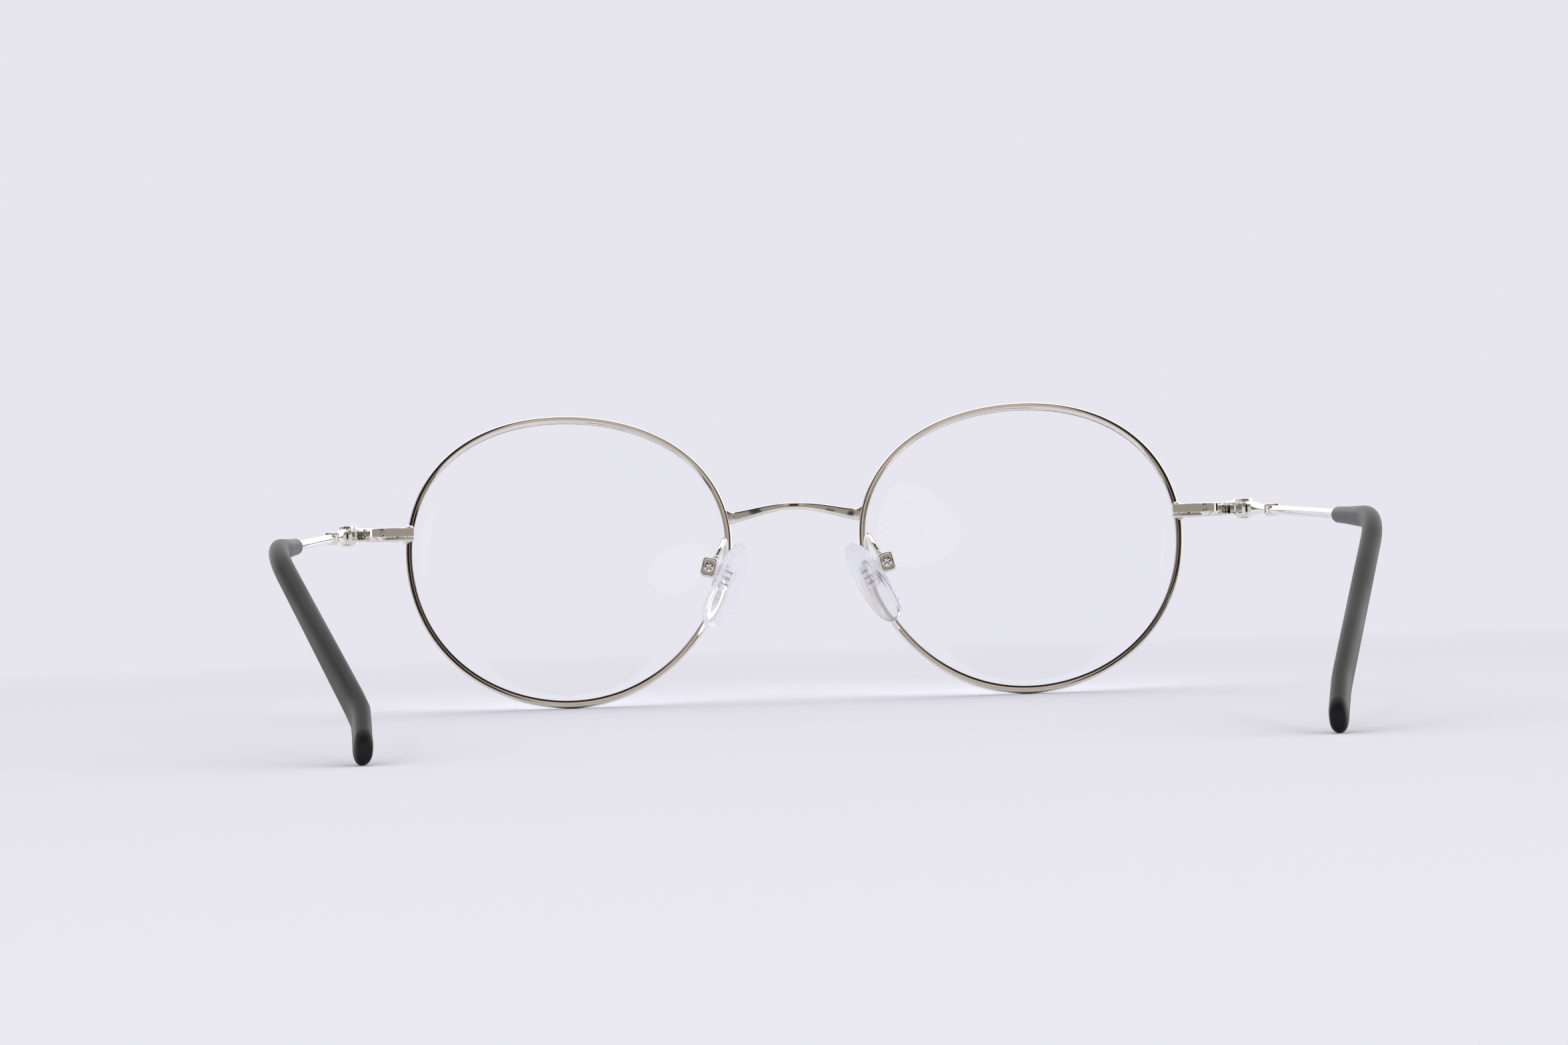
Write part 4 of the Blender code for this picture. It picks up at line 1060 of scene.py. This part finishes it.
def makeCamera():
    d = cameraDesign
    yaw, pitch, roll = (math.radians(d[key]) for key in ("yaw", "pitch", "roll"))
    ahead = Vector((math.sin(yaw) * math.cos(pitch), math.cos(yaw) * math.cos(pitch), -math.sin(pitch)))
    right = Vector((math.cos(yaw), -math.sin(yaw), 0))
    down = ahead.cross(right)
    across = right * math.cos(roll) + down * math.sin(roll)
    below = down * math.cos(roll) - right * math.sin(roll)
    data = bpy.data.cameras.new("camera")
    data.lens = d["lens"]
    data.sensor_width = 36.0
    data.clip_start = 0.01
    data.clip_end = 50.0
    camera = bpy.data.objects.new("camera", data)
    turn = Matrix((across, -below, -ahead)).transposed()
    camera.matrix_world = Matrix.Translation(Vector(d["place"]) * mm) @ turn.to_4x4()
    scene.collection.objects.link(camera)
    scene.camera = camera


stageDesign = {"backdrop": (0.800, 0.792, 0.860), "floor": (0.785, 0.778, 0.846), "fadeFrom": 0.30,
               "fadeTo": 0.75,
               "white": 1.3, "size": 8.0}

# soft studio surroundings: (azimuth from, to, elevation from, to, softness, colour); azimuth 0 is behind
# the wearer
roomPatches = (
    (-66, 66, -8, 64, 4.0, (0.36, 0.325, 0.285)),
    (-31, 37, 9, 64, 3.0, (0.020, 0.014, 0.012)),
    (-4.3, 8.3, 20.5, 50, 0.7, (0.55, 0.475, 0.41)),
    (-3.4, 7.0, 5, 22, 1.4, (0.55, 0.475, 0.41)),
    (20.5, 26.5, 0, 9, 0.8, (0.03, 0.05, 0.045)),
    (-1, 4.5, 2.2, 9, 0.8, (0.03, 0.015, 0.012)),
    (-21.5, -16.5, -4, 3.5, 0.8, (0.17, 0.10, 0.045)),
    (-31.5, -28.5, -3, 5, 0.6, (0.03, 0.02, 0.02)),
    (-82, -72, -8, 40, 1.5, (0.03, 0.03, 0.028)),
    (-98, -88, -8, 40, 1.5, (0.10, 0.17, 0.18)),
    (-118, -106, -8, 40, 1.5, (0.03, 0.025, 0.02)),
    (-134, -124, -8, 40, 1.5, (0.30, 0.27, 0.23)),
)


def patchMask(tree, azimuth, elevation, patch):
    fromAz, toAz, fromEl, toEl, soft, _ = patch
    mask = None
    for angle, low, high in ((azimuth, fromAz, toAz), (elevation, fromEl, toEl)):
        middle, half = (low + high) / 2, (high - low) / 2
        away = calculate(tree, "ABSOLUTE", calculate(tree, "SUBTRACT", angle, middle))
        part = spread(tree, away, half - soft / 2, half + soft / 2, 1.0, 0.0)
        mask = part if mask is None else calculate(tree, "MULTIPLY", mask, part)
    return mask


def makeWorld():
    d = stageDesign
    world = bpy.data.worlds.new("studio")
    world.use_nodes = True
    scene.world = world
    tree = world.node_tree
    tree.nodes.clear()
    place = addNode(tree, "ShaderNodeTexCoord")
    parts = addNode(tree, "ShaderNodeSeparateXYZ")
    tree.links.new(place.outputs["Generated"], parts.inputs[0])
    x, y, z = parts.outputs
    degrees = 180 / math.pi
    azimuth = calculate(tree, "MULTIPLY", calculate(tree, "ARCTAN2", x,
                                                    calculate(tree, "MULTIPLY", y, -1.0)), degrees)
    elevation = calculate(tree, "MULTIPLY", calculate(tree, "ARCSINE", z), degrees)
    colour = (d["white"],) * 3
    for patch in roomPatches:
        colour = blendColour(tree, patchMask(tree, azimuth, elevation, patch), colour, patch[5])
    path = addNode(tree, "ShaderNodeLightPath")
    direct = calculate(tree, "MAXIMUM", path.outputs["Is Camera Ray"], path.outputs["Is Transmission Ray"])
    final = blendColour(tree, direct, colour, d["backdrop"])
    background = addNode(tree, "ShaderNodeBackground")
    output = addNode(tree, "ShaderNodeOutputWorld")
    tree.links.new(final, background.inputs["Color"])
    tree.links.new(background.outputs[0], output.inputs["Surface"])


def makeFloor():
    # near the object the floor takes light and shadow; further out it runs into the backdrop's colour
    d = stageDesign
    half = d["size"] / 2
    mesh = bpy.data.meshes.new("floor")
    mesh.from_pydata([(-half, -half, 0), (half, -half, 0), (half, half, 0), (-half, half, 0)], [],
                     [(0, 1, 2, 3)])
    floor = bpy.data.objects.new("floor", mesh)
    scene.collection.objects.link(floor)
    material = bpy.data.materials.new("paleFloor")
    material.use_nodes = True
    tree = material.node_tree
    tree.nodes.clear()
    place = addNode(tree, "ShaderNodeTexCoord")
    length = addNode(tree, "ShaderNodeVectorMath", operation="LENGTH")
    tree.links.new(place.outputs["Object"], length.inputs[0])
    fade = spread(tree, length.outputs["Value"], d["fadeFrom"], d["fadeTo"], 0.0, 1.0)
    near = addNode(tree, "ShaderNodeBsdfDiffuse")
    near.inputs["Color"].default_value = (*d["floor"], 1.0)
    far = addNode(tree, "ShaderNodeEmission")
    far.inputs["Color"].default_value = (*d["backdrop"], 1.0)
    both = addNode(tree, "ShaderNodeMixShader")
    output = addNode(tree, "ShaderNodeOutputMaterial")
    tree.links.new(fade, both.inputs[0])
    tree.links.new(near.outputs[0], both.inputs[1])
    tree.links.new(far.outputs[0], both.inputs[2])
    tree.links.new(both.outputs[0], output.inputs["Surface"])
    mesh.materials.append(material)


lightDesign = {
    "leftSoftbox": {"place": (-0.34, -1.2, 0.62), "size": 0.16, "power": 1.3},
    "rightSoftbox": {"place": (0.42, -1.15, 0.46), "size": 0.3, "power": 2.2},
}


def makeLights():
    for name, d in lightDesign.items():
        data = bpy.data.lights.new(name, "AREA")
        data.shape = "DISK"
        data.size = d["size"]
        data.energy = d["power"]
        light = bpy.data.objects.new(name, data)
        light.location = d["place"]
        light.rotation_mode = "QUATERNION"
        light.rotation_quaternion = (-Vector(d["place"])).to_track_quat("-Z", "Y")
        light.visible_glossy = False
        scene.collection.objects.link(light)


makeCamera()
makeWorld()
makeFloor()
makeLights()
scene.view_settings.view_transform = "Standard"
print("camera, floor and light made")
